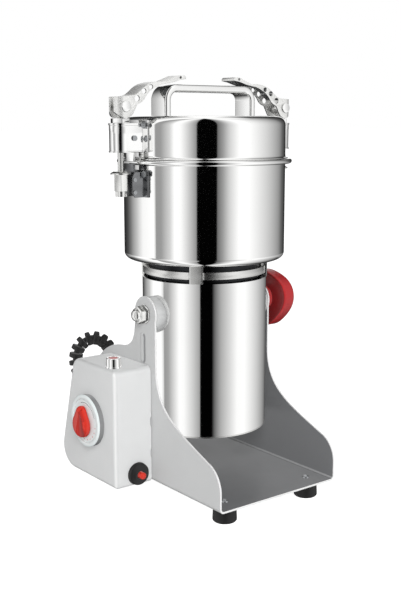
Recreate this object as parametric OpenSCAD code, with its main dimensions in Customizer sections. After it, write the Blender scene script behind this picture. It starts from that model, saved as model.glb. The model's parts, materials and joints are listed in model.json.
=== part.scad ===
// Swing-type electric grain mill: a stainless chamber with a clamped lid sits on
// an upright motor tube, which tilts between the cheeks of a U-shaped base. A
// control box with timer, lamp and overload reset hangs on the left cheek.
// +Z is up, -Y is the open front of the base, +X is the side of the lock knob.

/* [Bowl and lid] */
// Outer diameter of the grinding bowl and of the lid
bowl_d = 164; // [156:1:170]
// Sheet thickness of bowl and lid
bowl_wall = 1.5; // [1:0.1:2]
// Height of the bowl from its floor to the underside of its rolled rim
bowl_h = 95.8; // [85:0.1:105]
// Radius of the bowl's bottom corner
bowl_corner = 9; // [6:0.5:12]
// Diameter of the rolled rim's section
rim_d = 5.2; // [4:0.2:6]
// How far the rolled rim stands out from the bowl wall
rim_reach = 6.6; // [6:0.1:7.5]
// Height of the lid above the rolled rim
lid_h = 41.5; // [36:0.1:46]
// Radius of the lid's top corner
lid_corner = 9; // [6:0.5:12]
// Width of the silicone ring that seals the lid
lid_seal_w = 6; // [4:0.5:8]

/* [Handle] */
// Length of the handle over its legs
handle_l = 114; // [104:1:118]
// Width of the handle bar
handle_w = 26; // [20:1:30]
// Thickness of the handle bar
handle_t = 7; // [5:0.5:8]
// Height of the handle over the lid
handle_h = 30; // [26:0.5:30.5]
// Outer corner radius of the handle
handle_r = 15; // [12:1:18]

/* [Clamps] */
// Distance of each clamp rod outside the bowl's wall
rod_reach = 19; // [18:0.5:21]
// Diameter of the clamp rod
rod_d = 6; // [5:0.5:6.5]
// Height of the lever pin above the lid's top
pin_rise = 8.6; // [8:0.1:10]
// Diameter of the lever pin
pin_d = 6; // [5:0.5:6.5]
// Width of the lever over its cheeks
lever_w = 20.6; // [18:0.2:22]
// Sheet thickness of lever, clamp housing and hook bracket
clamp_t = 1.5; // [1.2:0.1:1.6]
// Radius of the lever's round underside about its pin
lever_end_r = 10.6; // [9.6:0.1:10.8]
// Outer radius of the housing's nose
housing_r = 10.7; // [10:0.1:11.2]
// Height of the housing between its two plates
housing_h = 24; // [20:0.5:25]
// Radius of the flange on the latch nut
flange_r = 10.2; // [9:0.1:10.2]

/* [Motor tube] */
// Outer diameter of the motor tube
tube_d = 128; // [120:1:132]
// Sheet thickness of the motor tube
tube_wall = 1.5; // [1:0.1:2]
// Length of the motor tube
tube_l = 155; // [148:1:160]
// Distance of the tilt pivot below the tube's upper end
pivot_drop = 33; // [30:0.5:36]
// Height of the lower air slot under the neck band
slot_low = 4.1; // [3:0.1:6]
// Height of the neck band
band_h = 7.2; // [5:0.1:9]
// Height of the upper air slot over the neck band
slot_high = 7.6; // [6:0.1:9]
// Width of each of the four neck tabs
tab_w = 13.3; // [10:0.1:16]

/* [Motor] */
// Diameter of the motor shaft
shaft_d = 10; // [8:0.5:11]
// Outer diameter of the stator laminations
stator_d = 92; // [84:1:98]
// Length of the stator laminations
stator_l = 50; // [40:1:54]
// Outer diameter of the rotor laminations
rotor_d = 52; // [46:1:54]
// Outer diameter of the bearings
bearing_d = 30; // [28:1:32]
// Width of the bearings
bearing_w = 9; // [8:0.5:10]
// Length of the long blade
blade_l = 136; // [110:1:146]
// Width of the blades
blade_w = 18; // [14:1:22]
// Thickness of the blades
blade_t = 3; // [2:0.5:4]

/* [Base] */
// Gap between the motor tube and each cheek
tilt_gap = 9; // [7.5:0.1:10.5]
// Distance from the tube's axis to the front edge
base_front = 120.5; // [110:0.5:130]
// Distance from the tube's axis to the rear edge
base_rear = 104; // [100:0.5:112]
// Sheet thickness of the base
sheet_t = 2; // [1.5:0.1:2.5]
// Height of the pivot above the table
pivot_z = 189.5; // [186:0.5:196]
// Radius of the round ear at the top of each cheek
ear_r = 18; // [16:0.5:20]
// Diameter of the pivot bolt and of the lock knob's stud
pivot_d = 10; // [8:0.5:11]

/* [Feet] */
// Height of each rubber foot
foot_h = 17; // [14:0.5:20]
// Diameter of each rubber foot
foot_d = 24; // [20:0.5:28]
// Distance between the left and right feet
foot_span = 107; // [100:1:112]
// Distance from the tube's axis to the front feet
foot_front = 101; // [95:1:104]
// Distance from the tube's axis to the rear feet
foot_rear = 82; // [76:1:90]

/* [Control box] */
// How far the box stands out from the left cheek
box_reach = 44; // [41:0.5:48]
// Height of the box's top above the table
box_top = 138.4; // [136:0.2:142]
// Distance from the tube's axis to the box's front face, towards the front
box_front = 10.7; // [8:0.1:13]
// Distance from the tube's axis to the box's upper rear corner
box_rear_top = 69; // [65:0.5:71]
// Lean of the box's rear face, in degrees
box_lean = 15; // [13:0.5:16]
// Sheet thickness of the box
box_wall = 1.5; // [1:0.1:2]
// Diameter of the timer's dial plate
dial_d = 53.6; // [49:0.2:56]
// Thickness of the dial plate
dial_t = 7.4; // [5:0.1:9]
// Diameter of the timer knob
knob_d = 32.6; // [29:0.2:36]
// Depth of the timer knob
knob_t = 8; // [7:0.5:10]
// Diameter of the black collar round the reset button
collar_d = 23.4; // [20:0.2:25]
// Diameter of the red reset button
button_d = 7; // [6:0.2:9]
// Diameter of the lamp's bezel
lamp_d = 14.5; // [12:0.5:15.5]
// Height of the lamp's bezel over the box
lamp_h = 10; // [8:0.5:12]

/* [Lock knob] */
// Largest diameter of the red lock knob
lock_d = 65; // [58:1:68]
// Thickness of the lock knob
lock_t = 16; // [13:0.5:19]
// Number of lobes on the lock knob
lock_lobes = 3; // [3:1:7]

/* [Motor lead] */
// Outer diameter of the ribbed sleeve
sleeve_d = 14.6; // [13:0.1:15]
// Diameter of the sleeve's core between its ribs
sleeve_core = 6.4; // [5:0.1:7]
// Number of ribs on the sleeve
sleeve_ribs = 16; // [14:1:18]

/* [Hidden] */
$fn = 64;

run_gap = 0.05;      // running clearance on each side of a pin or shaft
seat_gap = 0.3;      // clearance between pieces that only rest near each other
bush_gap = 0.15;     // clearance of the sleeve's core in its gland and its grommet
screw_d = 4;         // thread diameter of the foot, box and cover screws
cam_gap = 0.4;       // between a lever's round underside and the nut below it
tiny = 0.02;         // overlap that lets two cuts meet cleanly

// heights, from the table upwards
floor_z = foot_h;
tube_top = pivot_z + pivot_drop;
tube_z = tube_top - tube_l;
band_z = tube_top + slot_low;
bowl_z = band_z + band_h + slot_high;
rim_z = bowl_z + bowl_h;
lid_z = rim_z + rim_d;
lid_top = lid_z + lid_h;
pin_z = lid_top + pin_rise;
bowl_r = bowl_d/2;
tube_r = tube_d/2;
rod_x = bowl_r + rod_reach;

// clamp heights
nut_t = 4.5;
nut_turn = -10;      // how far the hexagons happen to be turned on the rods
latch_turn = 3;
housing_plate = 2;
housing_floor = 1.5;
nut_z = pin_z - lever_end_r - cam_gap - nut_t;
housing_top = nut_z - housing_plate;
housing_z = housing_top - housing_h;
latch_t = 3;
eye_r = 6.2;
eye_w = 2*sqrt(pow(lever_w/2 - clamp_t - seat_gap, 2) - eye_r*eye_r);
latch_z = housing_z - 22.3;
sleeve_l = 15.7;
sleeve_end = 5.4;
tongue_x = bowl_r + rim_reach + seat_gap;
tongue_w = 13.4;
tongue_t = 1.3;
flange_w = 17.4;     // half width of the plates bolted to the lid and the bowl
bolt_y = 14.9;       // where those bolts sit

// base
cheek_in = tube_r + tilt_gap;
base_w = 2*(cheek_in + sheet_t);
rib_w = 9;
rib_y = 4;
rib_h = 1.2;

// control box
box_x = base_w/2 + box_reach;
box_z = foot_h + 0.4;
dial_y = 35.8;
dial_z = 79.6;
reset_x = base_w/2 + 18.4;
reset_z = box_z + collar_d/2 + 1;
lamp_x = box_x - 11.3;
lamp_y = -box_front + 18.7;
gland_x = base_w/2 + 21.5;
lead_gland_z = 108;
mains_gland_z = 52;
gland_d = 14;
gland_t = 6;

// where things stand on the box's leaning rear face
function rear_y(z) = box_rear_top + (box_top - z)*tan(box_lean);

// the frame's origin is under the middle of the whole machine, on the table
reach_left = box_x + dial_t + knob_t + seat_gap;
reach_right = rod_x + housing_r + 0.7;
axis_x = (reach_left - reach_right)/2;
axis_y = (base_front - base_rear)/2;

function unit(v) = v/norm(v);
function bez(a, b, c, d, n = 10) = [for (i = [0:n]) let (t = i/n, u = 1 - t)
    u*u*u*a + 3*u*u*t*b + 3*u*t*t*c + t*t*t*d];
// one corner of an outline, rounded with radius r
function fillet(p, q, s, r, n) = let (
        a = unit(p - q), b = unit(s - q), half = acos(a*b)/2, m = q + unit(a + b)*r/sin(half),
        u = q + a*r/tan(half) - m, v = q + b*r/tan(half) - m,
        a0 = atan2(u[1], u[0]), turn = (atan2(v[1], v[0]) - a0 + 540)%360 - 180)
    [for (i = [0:n]) m + r*[cos(a0 + turn*i/n), sin(a0 + turn*i/n)]];
function rounded(p, r, n = 8) = [for (i = [0:len(p) - 1]) let (k = len(p))
    each (r[i] <= 0 ? [p[i]] : fillet(p[(i + k - 1)%k], p[i], p[(i + 1)%k], r[i], n))];

// a flat outline in Y and Z, given depth along X
module yz(x, t) { translate([x, 0, 0]) rotate([90, 0, 90]) linear_extrude(t) children(); }
// a flat outline in X and Z, given depth along Y
module xz(y, t) { translate([0, y + t, 0]) rotate([90, 0, 0]) linear_extrude(t) children(); }
module rod_along_x(x0, x1, r, y = 0, z = 0) {
    translate([x0, y, z]) rotate([0, 90, 0]) cylinder(h = x1 - x0, r = r);
}
module rod_along_y(y0, y1, r, x = 0, z = 0) {
    translate([x, y0, z]) rotate([-90, 0, 0]) cylinder(h = y1 - y0, r = r);
}
module up(z) { translate([0, 0, z]) children(); }
module at_axis() { translate([axis_x, axis_y, 0]) children(); }
module ring(r1, r0, h) { difference() { cylinder(h = h, r = r1); up(-1) cylinder(h = h + 2, r = r0); } }
module both_sides() { children(); mirror([1, 0, 0]) children(); }
module hex_head(af, h) { cylinder(h = h, r = af/sqrt(3), $fn = 6); }
// stands a fastener out of a wall of radius r, at height z and offset y
module on_wall(r, y, z) {
    translate([sqrt(r*r - y*y), y, z]) rotate([0, 90, asin(y/r)]) children();
}

// cheek: low rounded front, hollow throat, narrow ear, shoulder, tall rear
neck = ear_r - 1;
front_h = 61.5;
rear_h = 100;
cheek_outline = concat(
    rounded([[-base_front, floor_z], [-base_front, 53.5], [-103, front_h + 0.4]], [0, 27, 0]),
    bez([-103, front_h], [-52, 82], [-neck, 92], [-neck, 138]),
    [for (a = [200:-10:-20]) [ear_r*cos(a), pivot_z + ear_r*sin(a)]],
    bez([neck + 1.5, pivot_z - 14], [neck + 3, pivot_z - 32], [28, 151.5], [45, 150]),
    bez([45, 150], [72, 148], [base_rear - 8, 130], [base_rear, rear_h]),
    [[base_rear, floor_z]]);

module cheek() {
    polygon(cheek_outline);
}
module rib_outline(low, r) {
    translate([rib_y, pivot_z - 24]) circle(r, $fn = 32);
    translate([rib_y - r, low]) square([2*r, pivot_z - 24 - low]);
}
// pressed ribs: the left one runs down to the box, the right one nearly to the floor
module ribs(x, t, r) {
    mirror([1, 0, 0]) yz(x, t) rib_outline(box_top + seat_gap, r);
    yz(x, t) {
        rib_outline(floor_z + 26, r);
        translate([rib_y, floor_z + 26]) circle(r, $fn = 32);
    }
}
module foot_places() {
    for (x = [-1, 1], y = [-foot_front, foot_rear]) translate([x*foot_span/2, y, 0]) children();
}

module base_frame() {
    color("silver") difference() {
        union() {
            translate([-base_w/2, -base_front, floor_z]) cube([base_w, base_front + base_rear, sheet_t]);
            both_sides() yz(cheek_in, sheet_t) cheek();
            ribs(base_w/2, rib_h, rib_w/2);
        }
        ribs(cheek_in - tiny, rib_h, rib_w/2 - rib_h);
        rod_along_x(-base_w, base_w, pivot_d/2 + run_gap, 0, pivot_z);
        foot_places() up(floor_z - 1) cylinder(h = sheet_t + 2, d = screw_d + 0.4);
        for (p = box_screw_places) rod_along_x(-base_w, 0, screw_d/2 + 0.2, p[0], p[1]);
        rod_along_x(-base_w, 0, 6, lead_hole[0], lead_hole[1]);
    }
}
box_screw_places = [[4, box_top - 12], [box_rear_top + 2, box_z + 12], [box_rear_top - 12, box_top - 12]];
lead_hole = [30, 60];

module feet() {
    color([0.1, 0.1, 0.1]) foot_places() difference() {
        rotate_extrude() polygon(concat([[0, 0], [foot_d/2 - 1.5, 0], [foot_d/2, 1.5]],
            [[foot_d/2 - 0.8, foot_h], [0, foot_h]]));
        up(-1) cylinder(h = 6, d = screw_d + 6);
        up(-1) cylinder(h = foot_h + 2, d = screw_d + 0.4);
    }
}
module foot_screws() {
    color("gray") foot_places() {
        up(5.2) cylinder(h = floor_z + sheet_t - 5, d = screw_d);
        up(floor_z + sheet_t) difference() {
            rotate_extrude() polygon([[0, 0], [3.4, 0], [3.1, 1.1], [2.2, 1.9], [0, 2.2]]);
            up(1.2) for (a = [0, 90]) rotate(a) translate([-1.8, -0.35, 0]) cube([3.6, 0.7, 2]);
        }
        up(3) cylinder(h = 2, d = 9);
    }
}

// control box: outline seen from its left, with a leaning back
module box_outline(inset) {
    polygon(rounded([
        [-box_front + inset, box_z + inset],
        [rear_y(box_z + inset) - inset/cos(box_lean), box_z + inset],
        [rear_y(box_top - inset) - inset/cos(box_lean), box_top - inset],
        [-box_front + inset, box_top - inset]],
        [max(4 - inset, 1), 22 - inset, 11 - inset, max(6 - inset, 1)]));
}
box_edge = 5;
module box_block(inset) {
    x1 = base_w/2 + (inset > 0 ? -1 : 0);
    yz(-box_x + box_edge + inset, box_x - box_edge - inset - x1) box_outline(inset);
    hull() {
        yz(-box_x + box_edge + inset, 0.1) box_outline(inset);
        yz(-box_x + 1.4 + inset, 0.1) box_outline(inset + 1.6);
        yz(-box_x + inset, 0.1) box_outline(inset + box_edge);
    }
}
module on_rear(z) {
    translate([-gland_x, rear_y(z), z]) rotate([-90 + box_lean, 0, 0]) children();
}
module box_shell() {
    color([0.78, 0.79, 0.8]) difference() {
        box_block(0);
        box_block(box_wall);
        rod_along_x(-box_x - 5, -box_x + 10, 5.2, dial_y, dial_z);
        rod_along_y(-box_front - 5, -box_front + 8, 8, -reset_x, reset_z);
        translate([-lamp_x, lamp_y, box_top - 6]) cylinder(h = 12, r = 5);
        on_rear(lead_gland_z) up(-6) cylinder(h = 12, r = 5.2);
        on_rear(mains_gland_z) up(-6) cylinder(h = 12, r = 5.2);
    }
}
module box_screws() {
    color("gray") for (p = box_screw_places) {
        rod_along_x(-base_w/2 - 12, -cheek_in, screw_d/2, p[0], p[1]);
        rod_along_x(-cheek_in, -cheek_in + 2.6, 4.4, p[0], p[1]);
        difference() {
            rod_along_x(-base_w/2 - 12, -base_w/2, 6, p[0], p[1]);
            rod_along_x(-base_w/2 - 13, -base_w/2 + 1, screw_d/2, p[0], p[1]);
        }
    }
}
module timer_body() {
    color("ivory") {
        rod_along_x(-box_x + box_wall, -box_x + 26, 20, dial_y, dial_z);
        rod_along_x(-box_x + 26, -box_x + 30, 12, dial_y, dial_z);
        for (z = [-8, 8]) translate([-box_x + 30, dial_y - 3, dial_z + z - 0.4]) cube([6, 6, 0.8]);
    }
}
module dial_plate() {
    color("white") difference() {
        translate([-box_x, dial_y, dial_z]) rotate([0, -90, 0]) rotate_extrude() polygon(
            rounded([[5.4, 0], [dial_d/2, 0], [dial_d/2, dial_t], [5.4, dial_t]], [0, 0, 1.4, 0]));
        for (a = [0:30:330]) translate([-box_x, dial_y, dial_z]) rotate([a, 0, 0])
            translate([-dial_t - 1, -0.5, dial_d/2 - 4.6]) cube([1.3, 1, 2.6]);
    }
}
// round skirt, domed face and a tapered grip across it, on a stem
// the timer knob is egg-shaped, narrow at the top, with a sunken wedge for a pointer
module knob_outline(inset) {
    hull() {
        translate([-0.1*knob_d, 0]) circle(0.4*knob_d - inset);
        translate([0.31*knob_d, 0]) circle(0.19*knob_d - inset);
    }
}
module timer_knob() {
    color([0.85, 0.12, 0.08]) translate([-box_x - dial_t - seat_gap, dial_y, dial_z]) rotate([0, -90, 0]) {
        difference() {
            union() {
                linear_extrude(knob_t - 3) knob_outline(0);
                up(knob_t - 3 - tiny) linear_extrude(1.2 + tiny) knob_outline(0.5);
                up(knob_t - 1.8 - tiny) linear_extrude(1 + tiny) knob_outline(1.3);
                up(knob_t - 0.8 - tiny) linear_extrude(0.8 + tiny) knob_outline(2.6);
            }
            up(knob_t - 2) linear_extrude(3) polygon([[0.36*knob_d, 0], [-0.34*knob_d, 0.24*knob_d],
                [-0.4*knob_d, 0], [-0.34*knob_d, -0.24*knob_d]]);
        }
        up(-dial_t - box_wall + seat_gap) cylinder(h = dial_t + box_wall - seat_gap + tiny, r = 4.4);
    }
}
module breaker_body() {
    color([0.12, 0.12, 0.12]) {
        difference() {
            union() {
                rod_along_y(-box_front - 3.2, -box_front + box_wall + tiny, 7.8, -reset_x, reset_z);
                rod_along_y(-box_front + box_wall, 22, 9.6, -reset_x, reset_z);
            }
            rod_along_y(-box_front - 4, -box_front + 0.4, button_d/2 + 1, -reset_x, reset_z);
        }
        for (x = [-5, 5]) translate([-reset_x + x - 0.4, 22 - tiny, reset_z - 3]) cube([0.8, 8, 6]);
    }
}
module reset_collar() {
    color([0.07, 0.07, 0.07]) translate([-reset_x, -box_front, reset_z]) rotate([90, 0, 0])
        rotate_extrude() polygon(rounded([[8, 0], [collar_d/2, 0], [collar_d/2 - 0.6, 4.6],
            [button_d/2 + 2.6, 6.4], [button_d/2 + 0.6, 6.4], [button_d/2 + 0.6, 3.4], [8, 3.4]],
            [0, 0.6, 1.6, 0.6, 0.3, 0, 0], 4));
}
module reset_button() {
    color([0.8, 0.1, 0.05]) translate([-reset_x, -box_front - 3.6, reset_z]) rotate([90, 0, 0])
        rotate_extrude() polygon(concat(
            [[0, 0], [button_d/2 + 0.3, 0], [button_d/2 + 0.3, 0.6], [button_d/2, 0.6]],
            bez([button_d/2, 6.6], [button_d/2 - 0.1, 7.9], [button_d/2 - 1.4, 8.3], [0, 8.4], 6)));
}
module lamp_bezel() {
    color("gainsboro") translate([-lamp_x, lamp_y, box_top]) difference() {
        union() {
            cylinder(h = 1.2, d = lamp_d + 1.4);
            rotate_extrude() polygon(rounded([[0, 0], [lamp_d/2, 0], [lamp_d/2, lamp_h], [0, lamp_h]],
                [0, 0, 0.8, 0], 4));
            up(-14) cylinder(h = 15, r = 4.8);
            up(-box_wall - 3) cylinder(h = 3, r = 5.4, $fn = 6);
        }
        up(lamp_h - 2.6) cylinder(h = 4, d = lamp_d - 3.6);
        up(-20) cylinder(h = 40, r = 2.4);
    }
}
module lamp_lens() {
    color([0.6, 0.05, 0.05]) translate([-lamp_x, lamp_y, box_top + lamp_h - 2.6]) {
        rotate_extrude() polygon(concat([[0, 0], [lamp_d/2 - 1.8, 0], [lamp_d/2 - 1.8, 1.8]],
            [[lamp_d/4, 2.7], [0, 3]]));
        up(-10) cylinder(h = 10 + tiny, r = 2.4);
    }
}
block_t = 13;
block_l = 44;
block_h = 14;
module terminal_block() {
    color("ivory") translate([-base_w/2 - block_t, -2, box_top - 38.4]) difference() {
        cube([block_t, block_l, block_h]);
        for (y = [5:8.5:block_l - 4]) {
            translate([-1, y, block_h/2]) rotate([0, 90, 0]) cylinder(h = 9, d = 5);
            translate([block_t/2 - 0.5, y, -1]) cylinder(h = block_h + 2, d = 3);
        }
    }
}
// a locking bush for a cable, clipped into the box's leaning back
module gland(bore) {
    difference() {
        union() {
            up(-box_wall - 3) cylinder(h = box_wall + 3.4, r = 5.1);
            up(-box_wall - 3) cylinder(h = 3, r = 7.4);
            rotate_extrude() polygon(rounded(
                [[0, 0], [gland_d/2, 0], [gland_d/2 - 0.6, gland_t], [0, gland_t]],
                [0, 0, 1.5, 0], 4));
        }
        up(-10) cylinder(h = 30, d = bore);
    }
}
module cable_glands() {
    color([0.08, 0.08, 0.08]) {
        on_rear(lead_gland_z) gland(sleeve_core + 2*bush_gap);
        on_rear(mains_gland_z) gland(7);
    }
}

// motor lead: a ribbed sleeve that arches from the box over the cheek to the tube
lead_points = [
    [-96.5, 79.1, 108.6], [-96.5, 84, 110], [-97, 89.9, 112.6], [-98, 94.9, 117.6],
    [-98.5, 97.1, 124.6], [-98, 97.2, 132.5], [-95.3, 95.8, 140.7], [-89.5, 93.1, 147.5],
    [-81.5, 89.6, 150.3], [-73.4, 86, 147.8], [-67.2, 83.4, 141.2], [-63.4, 81.6, 133],
    [-62.4, 77.6, 125.6], [-60.6, 71, 119.4], [-55.4, 63.4, 115.4], [-49.4, 55.8, 114.4],
    [-43.1, 48.7, 114.4]];
grommet_a = 131.5;
grommet_z = 114.4;
function spline(p, t) = let (n = len(p) - 1, k = min(floor(t*n), n - 1), u = t*n - k,
        a = p[max(k - 1, 0)], b = p[k], c = p[k + 1], d = p[min(k + 2, n)])
    0.5*((2*b) + (c - a)*u + (2*a - 5*b + 4*c - d)*u*u + (3*b - a - 3*c + d)*u*u*u);
function heading(p, t) = unit(spline(p, min(t + 0.004, 1)) - spline(p, max(t - 0.004, 0)));
// distance run along the route at each of 200 steps
lead_steps = 200;
lead_run = [for (i = 0, s = 0; i <= lead_steps;
    s = s + norm(spline(lead_points, min(i + 1, lead_steps)/lead_steps) - spline(lead_points, i/lead_steps)),
    i = i + 1) [s, i/lead_steps]];
lead_l = lead_run[lead_steps][0];
sleeve_sides = 10;
sleeve_from = 6.4;   // bare ends of the sleeve, inside the gland and the grommet
sleeve_to = lead_l - 5.4;
function sleeve_ring(s, r) = let (t = lookup(s, lead_run), c = spline(lead_points, t),
        h = heading(lead_points, t), side = unit(cross(h, [0.34, 0.93, 0.1])), w = cross(side, h))
    [for (i = [0:sleeve_sides - 1]) let (a = 360*i/sleeve_sides) c + r*(cos(a)*side + sin(a)*w)];
// one rib: share of the pitch and diameter there
rib_steps = [[0.18, sleeve_core], [0.26, sleeve_d], [0.74, sleeve_d], [0.82, sleeve_core]];
sleeve_rings = let (pitch = (sleeve_to - sleeve_from)/sleeve_ribs) concat(
    [sleeve_ring(0, sleeve_core/2)],
    [for (i = [0:sleeve_ribs - 1], f = rib_steps)
        sleeve_ring(sleeve_from + (i + f[0])*pitch, f[1]/2)],
    [sleeve_ring(lead_l, sleeve_core/2)]);
module tube_of(rings, sides) {
    n = len(rings);
    polyhedron(
        points = [for (r = rings) each r],
        faces = concat(
            [[for (i = [0:sides - 1]) i]],
            [for (k = [0:n - 2], i = [0:sides - 1]) let (j = (i + 1)%sides)
                [k*sides + i, (k + 1)*sides + i, (k + 1)*sides + j]],
            [for (k = [0:n - 2], i = [0:sides - 1]) let (j = (i + 1)%sides)
                [k*sides + i, (k + 1)*sides + j, k*sides + j]],
            [[for (i = [sides - 1:-1:0]) (n - 1)*sides + i]]));
}
module motor_lead() { color([0.07, 0.07, 0.07]) tube_of(sleeve_rings, sleeve_sides); }
module on_grommet() {
    translate([tube_r*cos(grommet_a), tube_r*sin(grommet_a), grommet_z])
        rotate([0, 90, grommet_a]) children();
}
module lead_grommet() {
    color([0.08, 0.08, 0.08]) on_grommet() difference() {
        union() {
            up(-tube_wall - 2.6) cylinder(h = tube_wall + 4, r = 5.6);
            up(0.6) cylinder(h = 4, r = 7.2);
            up(-tube_wall - 3.6) cylinder(h = 1.6, r = 7.2);
        }
        up(-8) cylinder(h = 16, d = sleeve_core + 2*bush_gap);
    }
}

// pivots
cap_x = 9;           // how far the round cap of the bolt starts off the cheek
module pivot_bolt() {
    color("lightgray") {
        rod_along_x(-base_w/2 - cap_x - 1, -tube_r - 2.6, pivot_d/2, 0, pivot_z);
        translate([-base_w/2 - 1.4, 0, pivot_z]) rotate([0, -90, 0]) hex_head(16, cap_x - 1.2);
        difference() {
            rod_along_x(-base_w/2 - 1.4, -base_w/2, 9.2, 0, pivot_z);
            rod_along_x(-base_w, 0, pivot_d/2 - tiny, 0, pivot_z);
        }
        translate([-base_w/2 - cap_x, 0, pivot_z]) rotate([0, -90, 0]) rotate_extrude()
            polygon(concat([[0, 0], [6, 0]], bez([6, 2], [5.8, 4.6], [3.5, 5.8], [0, 5.8], 6)));
    }
}
module lock_outline(r) {
    polygon([for (i = [0:5:355]) (r - 2.2 + 2.2*cos(lock_lobes*(i - lock_rest)))*[cos(i), sin(i)]]);
}
lock_x = base_w/2 + 8.5;
lock_rest = 166;     // where one lobe points while the knob is tight, from the rear upwards
module lock_knob() {
    color([0.72, 0.1, 0.1]) translate([lock_x, 0, pivot_z]) rotate([90, 0, 90]) difference() {
        union() {
            linear_extrude(2) lock_outline(lock_d/2 - 2);
            up(2) linear_extrude(lock_t - 5) lock_outline(lock_d/2);
            up(lock_t - 3) linear_extrude(1.6) lock_outline(lock_d/2 - 1.6);
            up(lock_t - 1.4) linear_extrude(1.4) lock_outline(lock_d/2 - 4.2);
            up(-6) cylinder(h = 7, r = 13);
        }
        up(-7) cylinder(h = lock_t, r = pivot_d/2 + 0.01);
        up(lock_t - 1) cylinder(h = 2, r = lock_d/2 - 14);
    }
}
module lock_stud() {
    color("gray") {
        rod_along_x(tube_r + 2.6, lock_x + lock_t - 7.2, pivot_d/2, 0, pivot_z);
        difference() {
            rod_along_x(base_w/2 + seat_gap, lock_x - 6, 11, 0, pivot_z);
            rod_along_x(0, lock_x, pivot_d/2 - tiny, 0, pivot_z);
        }
    }
}

// motor tube, neck and bowl
module motor_tube() {
    color("lightgray") difference() {
        up(tube_z) cylinder(h = tube_l, r = tube_r, $fn = 128);
        up(tube_z - 1) cylinder(h = tube_l + 2, r = tube_r - tube_wall, $fn = 128);
        on_grommet() up(-6) cylinder(h = 12, r = 5.62);
        for (x = [-1, 1]) rod_along_x(min(x, 0)*tube_d, max(x, 0)*tube_d, pivot_d/2 + 1, 0, pivot_z);
    }
}
module neck_ring() {
    color("gainsboro") {
        up(band_z) ring(tube_r - 0.6, tube_r - 5, band_h);
        for (a = [45:90:315]) intersection() {
            rotate(a) translate([tube_r - 5, -tab_w/2, tube_top]) cube([5.8, tab_w, bowl_z - tube_top]);
            up(tube_top) cylinder(h = bowl_z - tube_top, r = tube_r + 1);
        }
    }
}
module tube_cover() {
    color("dimgray") up(tube_z - 1.5) difference() {
        union() {
            cylinder(h = 1.5, r = tube_r);
            cylinder(h = 9, r = tube_r - tube_wall);
        }
        up(1.5) cylinder(h = 9, r = tube_r - tube_wall - 1.5);
        for (r = [16, 26, 36, 46], a = [0:30:330]) rotate(a + (r == 26 || r == 46 ? 15 : 0))
            translate([r, 0, -1]) cylinder(h = 4, r = 3.2);
        for (a = [0:90:270]) rotate(a + 45) translate([tube_r - 8, 0, -1]) cylinder(h = 4, r = 2.1);
    }
}
module cover_screws() {
    color("gray") for (a = [0:90:270]) rotate(a + 45) translate([tube_r - 8, 0, tube_z - 1.5]) {
        cylinder(h = 12, r = 2);
        up(-2.2) cylinder(h = 2.2, r = 3.8);
    }
}
module saddles() {
    color("lightgray") both_sides() difference() {
        translate([0, 0, pivot_z - 1.5]) rotate([0, 90, 0]) difference() {
            cylinder(h = cheek_in - seat_gap, r = ear_r + 0.5);
            up(-1) cylinder(h = cheek_in - seat_gap - 1, r = ear_r - 1.5);
        }
        up(tube_z) cylinder(h = tube_l, r = tube_r);
        rod_along_x(0, base_w, pivot_d/2 + run_gap, 0, pivot_z);
    }
    color("lightgray") both_sides() difference() {
        rod_along_x(tube_r - tube_wall - 1.5, cheek_in - seat_gap, 10, 0, pivot_z);
        rod_along_x(0, base_w, pivot_d/2 + run_gap, 0, pivot_z);
        up(tube_z) ring(tube_r, tube_r - tube_wall, tube_l);
    }
}
floor_t = 2;
hub_r = 15;
module bowl() {
    r = bowl_r;
    color("gainsboro") rotate_extrude($fn = 128) {
        polygon(concat(
            [[hub_r, bowl_z]],
            [for (a = [-90:10:0]) [r - bowl_corner + bowl_corner*cos(a),
                bowl_z + bowl_corner + bowl_corner*sin(a)]],
            [[r, rim_z + rim_d - bowl_wall], [r + rim_reach - rim_d/2, rim_z + rim_d - bowl_wall],
                [r + rim_reach - rim_d/2, rim_z + rim_d], [r - bowl_wall, rim_z + rim_d]],
            [for (a = [0:-10:-90]) [r - bowl_corner + (bowl_corner - bowl_wall)*cos(a),
                bowl_z + bowl_corner + (bowl_corner - floor_t)*sin(a)]],
            [[hub_r, bowl_z + floor_t]]));
        translate([r + rim_reach - rim_d/2, rim_z + rim_d/2]) circle(d = rim_d, $fn = 24);
    }
}
module shaft_seal() {
    color([0.75, 0.62, 0.3]) up(bowl_z - 3) difference() {
        union() {
            cylinder(h = floor_t + 3, r = hub_r);
            up(floor_t + 3) cylinder(h = 3, r = hub_r + 3);
        }
        up(-1) cylinder(h = 12, r = shaft_d/2 + run_gap);
    }
}

// motor
fan_z = tube_z + 112;
top_bracket_z = tube_top - bearing_w - 3;
low_bracket_z = tube_z + 12;
stator_z = tube_z + 50;
module stator_core() {
    color("gray") up(stator_z) difference() {
        cylinder(h = stator_l, r = stator_d/2);
        up(-1) cylinder(h = stator_l + 2, r = rotor_d/2 + 0.5);
        for (a = [0, 180]) rotate(a) translate([0, 0, -1]) linear_extrude(stator_l + 2)
            polygon(concat([for (i = [-50:10:50]) (stator_d/2 - 8)*[cos(i), sin(i)]],
                [for (i = [50:-10:-50]) (rotor_d/2 + 6)*[cos(i), sin(i)]]));
    }
}
module field_coils() {
    color([0.72, 0.38, 0.16]) for (a = [0, 180]) rotate(a) up(stator_z - 8) linear_extrude(stator_l + 16)
        polygon(concat([for (i = [-46:4:46]) (stator_d/2 - 9)*[cos(i), sin(i)]],
            [for (i = [46:-4:-46]) (rotor_d/2 + 7)*[cos(i), sin(i)]]));
}
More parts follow.
